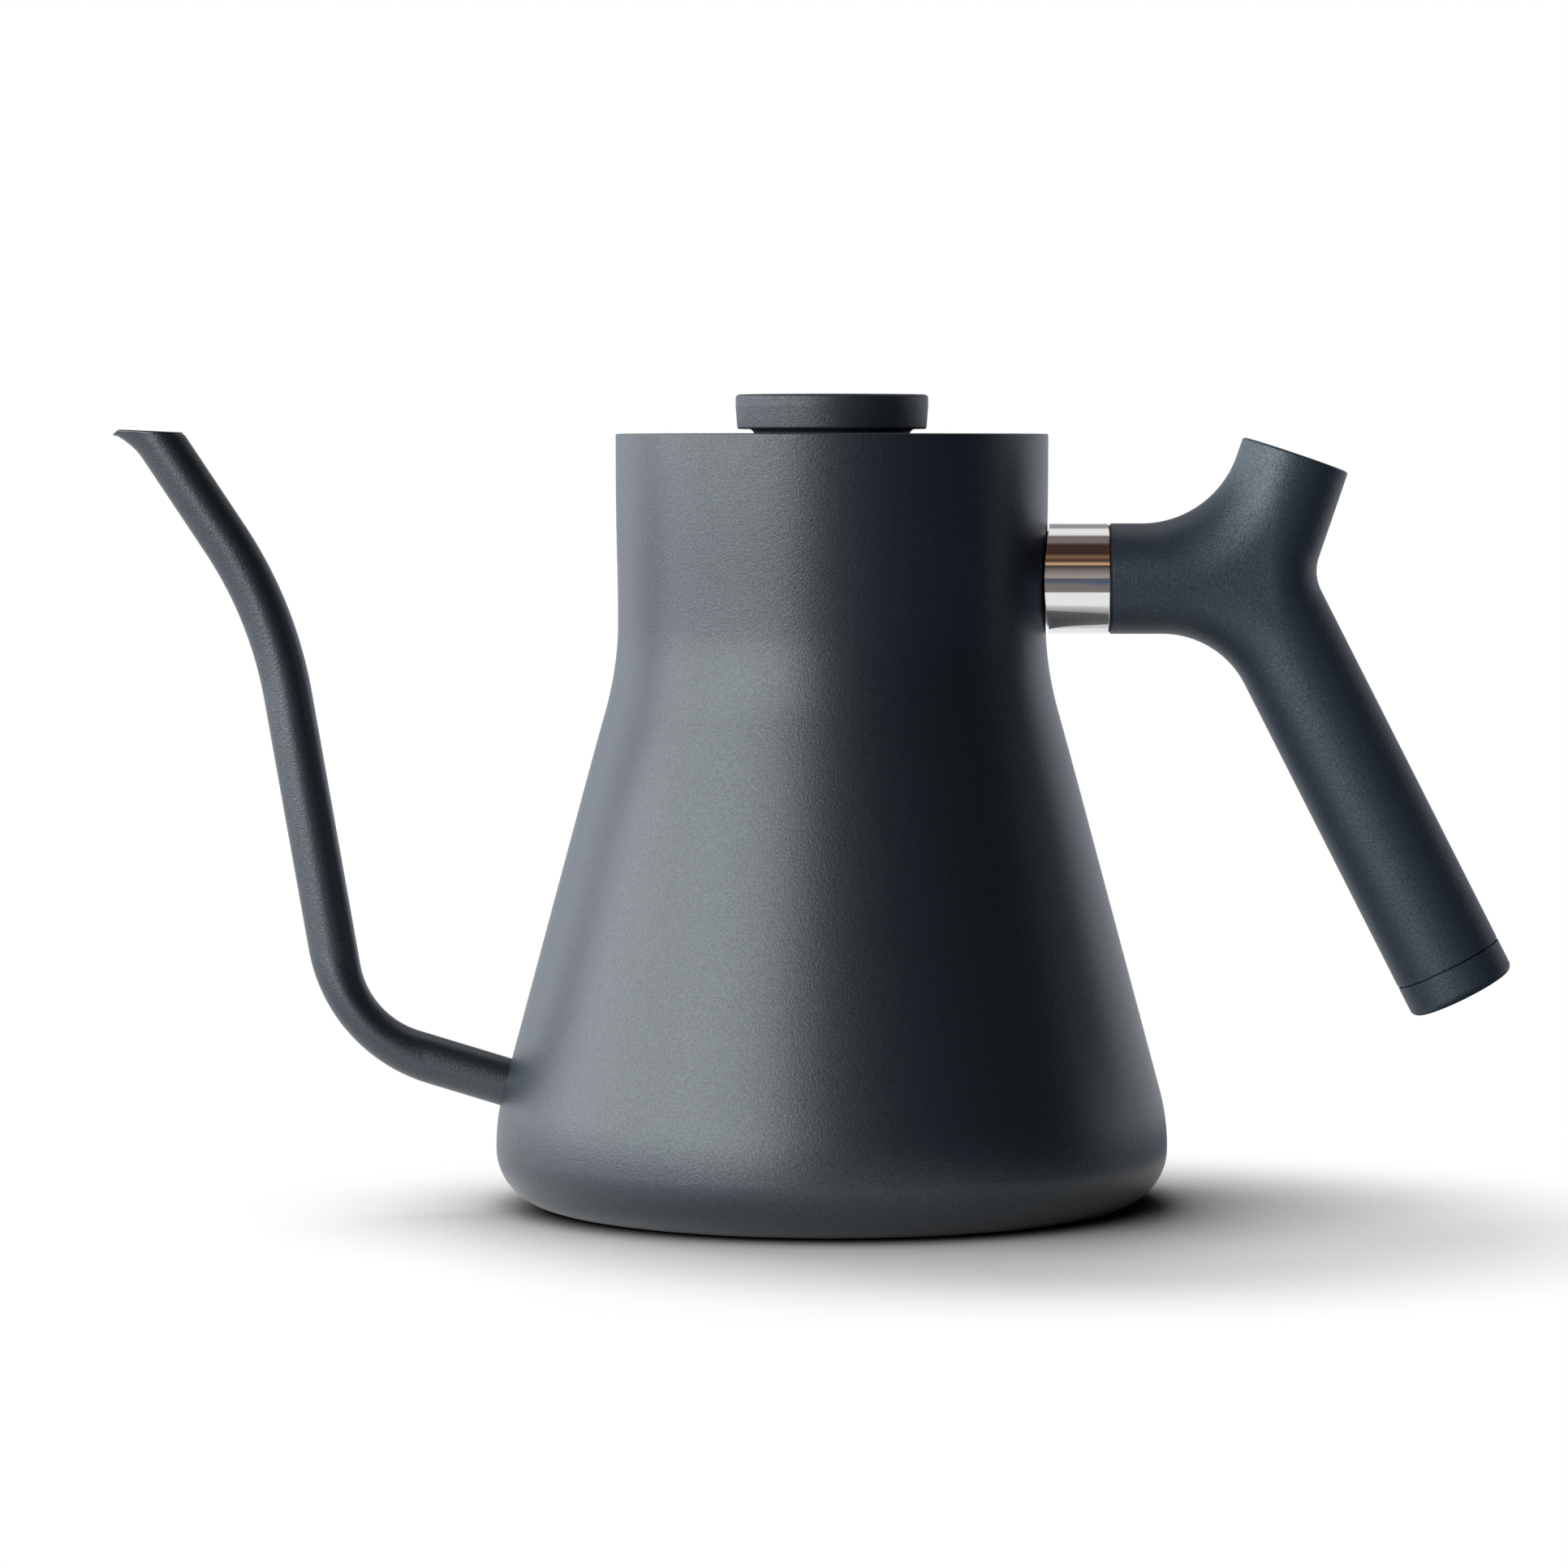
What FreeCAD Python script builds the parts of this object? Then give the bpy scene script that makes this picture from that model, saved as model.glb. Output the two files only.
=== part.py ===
import FreeCAD
import Part
import math
import os

from FreeCAD import Vector

# Gooseneck pour-over kettle for a hob, in millimetres.
# The origin is the centre of the base on the body's axis. +Z is up, +X points to the handle,
# -X to the spout, and the kettle is the same on both sides of the XZ plane.

# Body: a drawn shell with heel, cone and shoulder, and a straight neck band welded on it
BASE_DIAMETER = 140.8
NECK_DIAMETER = 90.3
RIM_HEIGHT = 160.9
NECK_HEIGHT = 49.3          # rim down to where the lines of neck and cone would meet
HEEL_HEIGHT = 17.9          # where the lines of cone and heel would meet
BASE_CORNER = 11.6
HEEL_BLEND = 20.0
SHOULDER_BLEND = 71.0
SHOULDER_LAND = 2.0         # straight stretch of the shell below the weld
WALL = 0.8
RIM_ROUND = 0.35

# Base plate, lapped on a narrow flange of the shell
FLANGE_WIDTH = 4.5
PLATE_THICKNESS = 1.2
PLATE_EDGE = 0.4
STAMPED_RING_RADIUS = 36.0
STAMPED_RING_WIDTH = 3.0
STAMPED_RING_DEPTH = 0.5
WELD_GAP = 0.1

# Spout: a tube with an elbow low down and a gentle knee below the mouth
SPOUT_DIAMETER = 10.1
SPOUT_WALL = 0.7
SPOUT_ROOT_HEIGHT = 24.9
ELBOW_OUT = 31.1            # beyond the side of the base
ELBOW_HEIGHT = 35.1
ELBOW_BEND = 26.0
KNEE_OUT = 46.5
KNEE_DROP = 37.5            # below the mouth
KNEE_BEND = 86.0
MOUTH_OUT = 71.3
MOUTH_RISE = 0.6            # above the rim
MOUTH_TILT = 2.6
LIP_FLARE = 2.3
LIP_DEPTH = 4.0
LIP_CURL = 1.7              # how late the flare turns out
LIP_STEPS = 6

# Handle: three round limbs whose axes meet in one point
LIMB_DIAMETER = 23.1
ARM_DROP = 30.2             # axis of the arm below the rim
ARM_LENGTH = 42.9           # neck to the meeting point
STUB_LENGTH = 27.3
STUB_LEAN = 18.7
GRIP_LENGTH = 90.3
GRIP_LEAN = 27.1
ARM_STUB_FILLET = 21.0
ARM_GRIP_FILLET = 19.5
STUB_GRIP_FILLET = 12.5
LIMB_FLAT = 0.3             # flat left between the two rounded sides of a limb
STUB_EDGE = 1.3

# Collar, bracket and washer between neck and handle
COLLAR_LENGTH = 12.5
COLLAR_WALL = 1.5
COLLAR_EDGE = 0.3
COLLAR_GAP = 0.3            # shadow line at the neck
COLLAR_FIT = 0.1
ARM_WASHER_THICKNESS = 0.5
ARM_WASHER_INSET = 0.4
TANG_DIAMETER = 12.0
TANG_PAST_MEETING = 5.5
TANG_FIT = 0.15

# Cross screw through the tang, along the grip
SCREW_DIAMETER = 5.0
SCREW_PAST_MEETING = 3.6
SCREW_EDGE = 0.5
SCREW_HEAD_DIAMETER = 8.5
SCREW_HEAD_HEIGHT = 5.0
SCREW_SOCKET = 4.0
SCREW_SOCKET_DEPTH = 2.6
SCREW_SEAT = 18.0           # meeting point to the seat of the washer
SCREW_HOLE_FIT = 0.25
THREAD_FIT = 0.05
SCREW_WASHER_DIAMETER = 10.0
SCREW_WASHER_THICKNESS = 1.0

# Grip: bore, counterweight and end cap
GRIP_BORE = 15.0
SLUG_FIT = 0.1
SLUG_HEAD_GAP = 2.5         # screw head to counterweight
SLUG_EDGE = 0.8
PAD_THICKNESS = 3.0
CAP_LENGTH = 7.3
CAP_EDGE = 1.6
CAP_PLUG = 9.0
CAP_PLUG_EDGE = 0.5
CAP_SEAM = 0.35
CAP_SEAM_DEPTH = 0.6
RING_SECTION = 1.1
RING_FIT = 0.03

# Lid: cover let into the neck, skirt, seal and the seat that carries them
LID_RECESS = 0.4
LID_FIT = 0.5
COVER_THICKNESS = 1.0
COVER_EDGE_ROUND = 0.6
SEAT_DEPTH = 5.0            # rim to the seat
SEAT_WIDTH = 4.2
SEAT_LEG = 6.0
SEAT_FIT = 0.05
SEAL_THICKNESS = 1.2
SKIRT_FIT = 0.6
SKIRT_DEPTH = 14.0
SKIRT_WALL = 0.8
SKIRT_FLANGE = 4.0
VENT_DIAMETER = 2.6
VENT_COUNT = 3
VENT_RADIUS = 30.0
VENT_STEP = 14.0            # degrees between vents

# Knob with the dial thermometer
KNOB_DIAMETER = 40.2
KNOB_FOOT_DIAMETER = 39.5   # the side draws in towards the lid
KNOB_HEIGHT = 7.2
KNOB_EDGE = 1.1
KNOB_FOOT_EDGE = 0.5
KNOB_SIDE = 2.4             # upright part of the side, below the top
KNOB_SIDE_BLEND = 7.0
KNOB_NECK_DIAMETER = 32.4
KNOB_NECK_HEIGHT = 1.4
KNOB_NECK_SWEEP = 1.3
KNOB_WALL = 2.0
KNOB_FLOOR = 1.4
LENS_SET = 0.3              # lens below the top of the knob
LENS_EDGE = 0.3
LENS_THICKNESS = 1.6
LENS_FIT = 0.1
LEDGE_WIDTH = 1.3
LENS_GASKET_THICKNESS = 0.7
DIAL_THICKNESS = 0.5
DIAL_FIT = 0.1
STUD_DIAMETER = 10.0
STUD_FIT = 0.2
NUT_WASHER_DIAMETER = 20.0
NUT_WASHER_THICKNESS = 1.0
NUT_WIDTH = 16.0
NUT_HEIGHT = 4.0
STUD_PAST_NUT = 1.2
STUD_EDGE = 0.6
STEM_DEPTH = 96.0           # rim to the tip of the stem
STEM_DIAMETER = 4.0
STEM_WALL = 0.35
STEM_FIT = 0.05
TIP_LENGTH = 3.0
TIP_ROUND = 1.2
BUSH_LENGTH = 3.0
SHAFT_DIAMETER = 1.2
SHAFT_FIT = 0.05
COIL_WIRE = 0.4
COIL_TURNS = 9
COIL_PITCH = 2.2
COIL_FIT = 0.12             # coil to the wall of the stem
COIL_END_GAP = 0.3
SHAFT_IN_COIL = 3.0
HUB_DIAMETER = 4.0
HUB_HEIGHT = 1.2
HUB_EDGE = 0.3
HUB_FIT = 0.01
HUB_CLEARANCE = 0.4         # hub above the dial
NEEDLE_WIDTH = 1.2
NEEDLE_THICKNESS = 0.3
NEEDLE_TIP_GAP = 1.8        # tip of the needle to the wall
NEEDLE_TAIL = 4.5
NEEDLE_POINT = 4.5          # length of the pointed end
NEEDLE_REST_ANGLE = -45.0   # where the scale starts, seen from above

# Derived places
BASE_RADIUS = BASE_DIAMETER / 2
NECK_RADIUS = NECK_DIAMETER / 2
NECK_BORE_RADIUS = NECK_RADIUS - WALL
SHOULDER_HEIGHT = RIM_HEIGHT - NECK_HEIGHT
CONE_ANGLE = math.atan2(BASE_RADIUS - NECK_RADIUS, SHOULDER_HEIGHT - HEEL_HEIGHT)
NECK_START = SHOULDER_HEIGHT + SHOULDER_BLEND * math.tan(CONE_ANGLE / 2) + SHOULDER_LAND
FLANGE_RADIUS = BASE_RADIUS - BASE_CORNER - FLANGE_WIDTH
LIP_RUN = LIP_DEPTH + SPOUT_DIAMETER   # depth of the end piece that carries the lip

ARM_HEIGHT = RIM_HEIGHT - ARM_DROP
LIMB_RADIUS = LIMB_DIAMETER / 2
MEETING = Vector(NECK_RADIUS + ARM_LENGTH, 0, ARM_HEIGHT)
TO_NECK = Vector(-1, 0, 0)
TO_HANDLE = Vector(1, 0, 0)
ALONG_STUB = Vector(math.sin(math.radians(STUB_LEAN)), 0, math.cos(math.radians(STUB_LEAN)))
ALONG_GRIP = Vector(math.sin(math.radians(GRIP_LEAN)), 0, -math.cos(math.radians(GRIP_LEAN)))
COLLAR_END = NECK_RADIUS + COLLAR_LENGTH
ARM_END = COLLAR_END + ARM_WASHER_THICKNESS
BOSS_RADIUS = LIMB_RADIUS - COLLAR_WALL - COLLAR_FIT
TANG_RADIUS = TANG_DIAMETER / 2

HEAD_SEAT = SCREW_SEAT + SCREW_WASHER_THICKNESS
HEAD_END = HEAD_SEAT + SCREW_HEAD_HEIGHT
SLUG_START = HEAD_END + SLUG_HEAD_GAP
PLUG_RADIUS = GRIP_BORE / 2 - SLUG_FIT
PLUG_START = GRIP_LENGTH - CAP_PLUG
SLUG_END = PLUG_START - PAD_THICKNESS

LID_TOP = RIM_HEIGHT - LID_RECESS
LID_UNDER = LID_TOP - COVER_THICKNESS
SEAT_HEIGHT = RIM_HEIGHT - SEAT_DEPTH
SEAT_OUTER_RADIUS = NECK_BORE_RADIUS - WELD_GAP
SEAT_BORE_RADIUS = SEAT_OUTER_RADIUS - SEAT_WIDTH
SEAL_UNDER = SEAT_HEIGHT + SEAT_FIT
SEAL_TOP = SEAL_UNDER + SEAL_THICKNESS
COVER_RADIUS = NECK_BORE_RADIUS - LID_FIT
SKIRT_RADIUS = SEAT_BORE_RADIUS - SKIRT_FIT

KNOB_RADIUS = KNOB_DIAMETER / 2
KNOB_UNDER = LID_TOP + KNOB_NECK_HEIGHT
KNOB_TOP = KNOB_UNDER + KNOB_HEIGHT
LENS_RADIUS = KNOB_RADIUS - KNOB_WALL - LENS_FIT
LENS_TOP = KNOB_TOP - LENS_SET
LENS_UNDER = LENS_TOP - LENS_THICKNESS
LEDGE_HEIGHT = LENS_UNDER - LENS_GASKET_THICKNESS
CHAMBER_RADIUS = KNOB_RADIUS - KNOB_WALL - LEDGE_WIDTH
CHAMBER_FLOOR = KNOB_UNDER + KNOB_FLOOR
DIAL_TOP = CHAMBER_FLOOR + DIAL_THICKNESS
STUD_RADIUS = STUD_DIAMETER / 2
NUT_TOP = LID_UNDER - NUT_WASHER_THICKNESS
STUD_END = NUT_TOP - NUT_HEIGHT - STUD_PAST_NUT
STEM_RADIUS = STEM_DIAMETER / 2
STEM_BORE_RADIUS = STEM_RADIUS - STEM_WALL
STEM_END = RIM_HEIGHT - STEM_DEPTH
SHAFT_RADIUS = SHAFT_DIAMETER / 2
COIL_RADIUS = STEM_BORE_RADIUS - COIL_FIT - COIL_WIRE / 2
COIL_START = STEM_END + TIP_LENGTH + COIL_END_GAP + COIL_WIRE / 2
COIL_END = COIL_START + COIL_TURNS * COIL_PITCH
HUB_UNDER = DIAL_TOP + HUB_CLEARANCE
NEEDLE_LENGTH = CHAMBER_RADIUS - NEEDLE_TIP_GAP

UP = Vector(0, 0, 1)
AXIS_FOOT = Vector(0, 0, 0)
FULL_RUN = 0.98             # most of a straight run that the roundings beside it may take
CLOSE = 0.01                # two places count as the same within this


def corner_angle(before, corner, after):
    """Angle between the two runs that leave a corner."""
    return (before - corner).getAngle(after - corner)


def rounded(points, radii, closed):
    """Straight runs with a tangent arc at each corner; a rounding is limited by the runs beside it."""
    count = len(points)
    runs = count if closed else count - 1
    reach = [0.0] * count
    for i in range(count):
        if radii[i] > 0:
            angle = corner_angle(points[i - 1], points[i], points[(i + 1) % count])
            reach[i] = radii[i] / math.tan(angle / 2)
    share = [1.0] * count
    for i in range(runs):
        j = (i + 1) % count
        wanted = reach[i] + reach[j]
        room = FULL_RUN * points[i].distanceToPoint(points[j])
        if wanted > room:
            share[i] = min(share[i], room / wanted)
            share[j] = min(share[j], room / wanted)

    arrive = list(points)
    leave = list(points)
    arcs = [None] * count
    for i in range(count):
        if reach[i] > 0:
            corner = points[i]
            back = (points[i - 1] - corner).normalize()
            on = (points[(i + 1) % count] - corner).normalize()
            half = back.getAngle(on) / 2
            radius = radii[i] * share[i]
            arrive[i] = corner + back * (reach[i] * share[i])
            leave[i] = corner + on * (reach[i] * share[i])
            inward = (back + on).normalize()
            middle = corner + inward * (radius / math.sin(half) - radius)
            arcs[i] = Part.Arc(arrive[i], middle, leave[i]).toShape()

    edges = []
    for i in range(runs):
        j = (i + 1) % count
        if arcs[i]:
            edges.append(arcs[i])
        edges.append(Part.LineSegment(leave[i], arrive[j]).toShape())
    return edges


def outline(corners):
    """Closed face in the XZ plane through corners given as (x, z, rounding)."""
    points = [Vector(x, 0, z) for x, z, _ in corners]
    radii = [rounding for _, _, rounding in corners]
    return Part.Face(Part.Wire(rounded(points, radii, True)))


def lathe(corners):
    """Solid turned about Z from corners given as (radius, height, rounding)."""
    return outline(corners).revolve(AXIS_FOOT, UP, 360)


def ring(inner_radius, outer_radius, low, high, rounding=0.0):
    """Plain turned ring; its outer edges are rounded."""
    return lathe([
        (inner_radius, low, 0),
        (outer_radius, low, rounding),
        (outer_radius, high, rounding),
        (inner_radius, high, 0),
    ])


def disc(radius, low, high, rounding=0.0):
    """Plain turned disc or rod; its edges are rounded."""
    return ring(0, radius, low, high, rounding)


def along(shape, start, direction):
    """The shape with its Z axis laid along a direction from a start point."""
    placed = shape.copy()
    placed.Placement = FreeCAD.Placement(start, FreeCAD.Rotation(UP, direction))
    return placed


def hexagon_prism(width, low, high):
    """Hexagonal prism on the Z axis, given by its width across flats."""
    corner_radius = width / math.sqrt(3)
    corners = []
    for i in range(7):
        turn = math.radians(60 * i)
        corners.append(Vector(corner_radius * math.cos(turn), corner_radius * math.sin(turn), low))
    return Part.Face(Part.makePolygon(corners)).extrude(UP * (high - low))


def skin(inset):
    """Base, heel and shoulder corners of the body's outside skin, moved in by an inset."""
    slope = inset * math.tan(CONE_ANGLE / 2)
    return [
        (BASE_RADIUS - inset, inset, BASE_CORNER - inset),
        (BASE_RADIUS - inset, HEEL_HEIGHT - slope, HEEL_BLEND - inset),
        (NECK_RADIUS - inset, SHOULDER_HEIGHT - slope, SHOULDER_BLEND + inset),
    ]


def filled_body(inset):
    """The body as if it were solid, out to its skin moved in by an inset."""
    neck_radius = NECK_RADIUS - inset
    return lathe([(0, inset, 0)] + skin(inset) + [(neck_radius, RIM_HEIGHT, 0), (0, RIM_HEIGHT, 0)])


def body_radius(height):
    """Outside radius on the straight part of the cone at a height."""
    return BASE_RADIUS - (height - HEEL_HEIGHT) * math.tan(CONE_ANGLE)


def body_shell():
    """Drawn shell from the base flange to the weld of the neck, pierced where the spout starts."""
    weld = [(NECK_RADIUS, NECK_START, 0), (NECK_BORE_RADIUS, NECK_START, 0)]
    inside = list(reversed(skin(WALL)))
    profile = [(FLANGE_RADIUS, 0, 0)] + skin(0) + weld + inside + [(FLANGE_RADIUS, WALL, 0)]
    return lathe(profile).cut(spout_rod(SPOUT_DIAMETER / 2 - SPOUT_WALL))


def neck_band():
    """Rolled band on the shell, from the weld to the rounded rim."""
    return lathe([
        (NECK_BORE_RADIUS, NECK_START + WELD_GAP, 0),
        (NECK_RADIUS, NECK_START + WELD_GAP, 0),
        (NECK_RADIUS, RIM_HEIGHT, RIM_ROUND),
        (NECK_BORE_RADIUS, RIM_HEIGHT, RIM_ROUND),
    ])


def base_plate():
    """Stamped disc: its centre stands on the hob, its edge laps the flange of the shell."""
    step = FLANGE_RADIUS - WELD_GAP
    lap = BASE_RADIUS - BASE_CORNER - WELD_GAP
    thick = PLATE_THICKNESS
    ring_low = STAMPED_RING_RADIUS - STAMPED_RING_WIDTH / 2
    ring_high = STAMPED_RING_RADIUS + STAMPED_RING_WIDTH / 2
    depth = STAMPED_RING_DEPTH
    return lathe([
        (0, 0, 0),
        (ring_low - depth, 0, 0),
        (ring_low, depth, 0),
        (ring_high, depth, 0),
        (ring_high + depth, 0, 0),
        (step, 0, PLATE_EDGE),
        (step, WALL, 0),
        (lap, WALL, 0),
        (lap, WALL + thick, PLATE_EDGE),
        (step - thick, WALL + thick, 0),
        (step - thick - WALL, thick, 0),
        (ring_high + depth, thick, 0),
        (ring_high, thick + depth, 0),
        (ring_low, thick + depth, 0),
        (ring_low - depth, thick, 0),
        (0, thick, 0),
    ])


def spout_points():
    """Corners of the spout's centre line, from inside the body to the mouth."""
    elbow = Vector(-BASE_RADIUS - ELBOW_OUT, 0, ELBOW_HEIGHT)
    root = Vector(-body_radius(SPOUT_ROOT_HEIGHT), 0, SPOUT_ROOT_HEIGHT)
    start = root + (root - elbow).normalize() * SPOUT_DIAMETER
    mouth_height = RIM_HEIGHT + MOUTH_RISE
    knee = Vector(-BASE_RADIUS - KNEE_OUT, 0, mouth_height - KNEE_DROP)
    mouth = Vector(-BASE_RADIUS - MOUTH_OUT, 0, mouth_height)
    return [start, elbow, knee, mouth]


def mouth_frame():
    """Centre of the mouth, the way it faces and the way the tube runs there."""
    knee, mouth = spout_points()[2:]
    tilt = math.radians(MOUTH_TILT)
    facing = Vector(math.sin(tilt), 0, math.cos(tilt))
    return mouth, facing, (mouth - knee).normalize()


def tube_section(radius, depth, level, flare):
    """Outline of the tube at a depth below the mouth, drawn out towards the lip by a flare.

    A level outline is parallel to the mouth, the other is square to the tube.
    """
    mouth, facing, run = mouth_frame()
    centre = mouth - run * (depth / run.dot(facing))
    across = Vector(0, 1, 0)
    side = centre + across * radius
    quarter = math.pi / 2
    if level:
        to_lip = facing.cross(across)
        half_length = radius / run.dot(facing)
        drawn_out = Part.Ellipse(centre + to_lip * (half_length + flare), side, centre)
        plain = Part.Ellipse(centre + to_lip * half_length, side, centre)
        front = Part.ArcOfEllipse(drawn_out, -quarter, quarter)
        back = Part.ArcOfEllipse(plain, quarter, 3 * quarter)
    else:
        to_lip = run.cross(across)
        circle = Part.Circle(centre + to_lip * radius, side, centre - to_lip * radius)
        front = Part.ArcOfCircle(circle, -quarter, quarter)
        back = Part.ArcOfCircle(circle, quarter, 3 * quarter)
    return Part.Wire([front.toShape(), back.toShape()])


def spout_rod(radius):
    """Solid rod along the spout's centre line, from inside the body to where its end piece starts."""
    mouth, facing, run = mouth_frame()
    end = mouth - run * (LIP_RUN / run.dot(facing))
    points = spout_points()[:3] + [end]
    path = Part.Wire(rounded(points, [0, ELBOW_BEND, KNEE_BEND, 0], False))
    section = Part.Wire(Part.Circle(points[0], points[1] - points[0], radius).toShape())
    return path.makePipeShell([section], True, False)


def lip_rod(radius):
    """Solid end piece of the spout, straight at first and then flaring in steps into the lip."""
    sections = [tube_section(radius, LIP_RUN, False, 0)]
    for step in range(LIP_STEPS + 1):
        part = step / LIP_STEPS
        sections.append(tube_section(radius, LIP_DEPTH * (1 - part), True, LIP_FLARE * part ** LIP_CURL))
    return Part.makeLoft(sections, True, True)


def spout_tube():
    """Bent tube from the body to the pouring lip."""
    bore = SPOUT_DIAMETER / 2 - SPOUT_WALL
    run = spout_rod(SPOUT_DIAMETER / 2).cut(spout_rod(bore)).cut(filled_body(0))
    lip = lip_rod(SPOUT_DIAMETER / 2).cut(lip_rod(bore))
    return run.fuse(lip)


def handle_bracket():
    """Boss and tang in one piece, welded to the neck, with the thread for the cross screw."""
    tang_end = MEETING.x + TANG_PAST_MEETING
    turned = lathe([
        (0, 0, 0),
        (BOSS_RADIUS, 0, 0),
        (BOSS_RADIUS, COLLAR_END, COLLAR_EDGE),
        (TANG_RADIUS, COLLAR_END, 0),
        (TANG_RADIUS, tang_end, COLLAR_EDGE),
        (0, tang_end, 0),
    ])
    bar = along(turned, Vector(0, 0, ARM_HEIGHT), TO_HANDLE)
    thread = disc(SCREW_DIAMETER / 2 + THREAD_FIT, -SCREW_PAST_MEETING - THREAD_FIT, LIMB_DIAMETER)
    return bar.cut(filled_body(0)).cut(along(thread, MEETING, ALONG_GRIP))


def handle_collar():
    """Polished sleeve round the boss, shaped to the neck with a fine gap."""
    sleeve = lathe([
        (LIMB_RADIUS - COLLAR_WALL, 0, 0),
        (LIMB_RADIUS, 0, 0),
        (LIMB_RADIUS, COLLAR_END, COLLAR_EDGE),
        (LIMB_RADIUS - COLLAR_WALL, COLLAR_END, 0),
    ])
    return along(sleeve, Vector(0, 0, ARM_HEIGHT), TO_HANDLE).cut(filled_body(-COLLAR_GAP))


def arm_washer():
    """Heat washer between collar and handle, a little smaller than both."""
    flat = ring(TANG_RADIUS + TANG_FIT, LIMB_RADIUS - ARM_WASHER_INSET, COLLAR_END, ARM_END)
    return along(flat, Vector(0, 0, ARM_HEIGHT), TO_HANDLE)


def fork(first, second):
    """Corner between two limbs, where their sides meet."""
    return MEETING + (first + second) * (LIMB_RADIUS / math.sin(first.getAngle(second)))


def limb_end(direction, length):
    """The two outline corners at the end of a limb, left of its run and then right of it."""
    left = Vector(-direction.z, 0, direction.x) * LIMB_RADIUS
    end = MEETING + direction * length
    return end + left, end - left


def handle_outline():
    """Outline of the three limbs in the XZ plane."""
    arm_left, arm_right = limb_end(TO_NECK, MEETING.x - ARM_END)
    stub_left, stub_right = limb_end(ALONG_STUB, STUB_LENGTH)
    grip_left, grip_right = limb_end(ALONG_GRIP, GRIP_LENGTH)
    points = [
        arm_left, arm_right, fork(TO_NECK, ALONG_STUB), stub_left, stub_right,
        fork(ALONG_STUB, ALONG_GRIP), grip_left, grip_right, fork(ALONG_GRIP, TO_NECK),
    ]
    radii = [0, 0, ARM_STUB_FILLET, 0, 0, STUB_GRIP_FILLET, 0, 0, ARM_GRIP_FILLET]
    return Part.Face(Part.Wire(rounded(points, radii, True)))


def on_limb_end(edge):
    """Whether an edge lies in the end face of a limb."""
    ends = [(TO_NECK, MEETING.x - ARM_END), (ALONG_STUB, STUB_LENGTH), (ALONG_GRIP, GRIP_LENGTH)]
    middle = edge.CenterOfMass
    return any(abs((middle - MEETING).dot(way) - length) < CLOSE for way, length in ends)


def edge_rounder(radius, edge_round):
    """Ring that trims the rim of a round end to a rounded edge; the end face is at height 0."""
    outside = radius + edge_round
    points = [
        Vector(radius - edge_round, 0, 0), Vector(outside, 0, 0),
        Vector(outside, 0, -edge_round), Vector(radius, 0, -edge_round),
    ]
    lines = [Part.LineSegment(points[i], points[i + 1]).toShape() for i in range(3)]
    turn = edge_round * math.sqrt(0.5)
    middle = Vector(radius - edge_round + turn, 0, turn - edge_round)
    lines.append(Part.Arc(points[3], middle, points[0]).toShape())
    return Part.Face(Part.Wire(lines)).revolve(AXIS_FOOT, UP, 360)


def handle_grip():
    """Moulded handle: arm, thumb rest and grip, hollow for tang, screw and counterweight."""
    sides = handle_outline()
    sides.translate(Vector(0, -LIMB_RADIUS, 0))
    block = sides.extrude(Vector(0, LIMB_DIAMETER, 0))
    long_edges = []
    for edge in block.Edges:
        flat = abs(edge.BoundBox.YMax - edge.BoundBox.YMin) < CLOSE
        if flat and not on_limb_end(edge):
            long_edges.append(edge)
    body = block.makeFillet(LIMB_RADIUS - LIMB_FLAT / 2, long_edges)
    stub_end = MEETING + ALONG_STUB * STUB_LENGTH
    body = body.cut(along(edge_rounder(LIMB_RADIUS, STUB_EDGE), stub_end, ALONG_STUB))

    socket_end = MEETING.x + TANG_PAST_MEETING + TANG_FIT
    socket = disc(TANG_RADIUS + TANG_FIT, 0, socket_end)
    body = body.cut(along(socket, Vector(0, 0, ARM_HEIGHT), TO_HANDLE))
    screw_hole = disc(SCREW_DIAMETER / 2 + SCREW_HOLE_FIT, 0, GRIP_LENGTH)
    bore = disc(GRIP_BORE / 2, SCREW_SEAT, GRIP_LENGTH)
    return body.cut(along(screw_hole.fuse(bore), MEETING, ALONG_GRIP))


def cross_screw():
    """Socket-head screw through the handle into the tang."""
    turned = lathe([
        (0, -SCREW_PAST_MEETING, 0),
        (SCREW_DIAMETER / 2, -SCREW_PAST_MEETING, SCREW_EDGE),
        (SCREW_DIAMETER / 2, HEAD_SEAT, 0),
        (SCREW_HEAD_DIAMETER / 2, HEAD_SEAT, 0),
        (SCREW_HEAD_DIAMETER / 2, HEAD_END, SCREW_EDGE),
        (0, HEAD_END, 0),
    ])
    socket = hexagon_prism(SCREW_SOCKET, HEAD_END - SCREW_SOCKET_DEPTH, HEAD_END)
    return along(turned.cut(socket), MEETING, ALONG_GRIP)


def screw_washer():
    """Plain washer under the screw head."""
    flat = ring(SCREW_DIAMETER / 2 + SCREW_HOLE_FIT, SCREW_WASHER_DIAMETER / 2, SCREW_SEAT, HEAD_SEAT)
    return along(flat, MEETING, ALONG_GRIP)


def counterweight():
    """Steel slug in the bore of the grip."""
    return along(disc(PLUG_RADIUS, SLUG_START, SLUG_END, SLUG_EDGE), MEETING, ALONG_GRIP)


def counterweight_pad():
    """Silicone pad between the slug and the end cap."""
    return along(disc(PLUG_RADIUS, SLUG_END, PLUG_START), MEETING, ALONG_GRIP)


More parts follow.
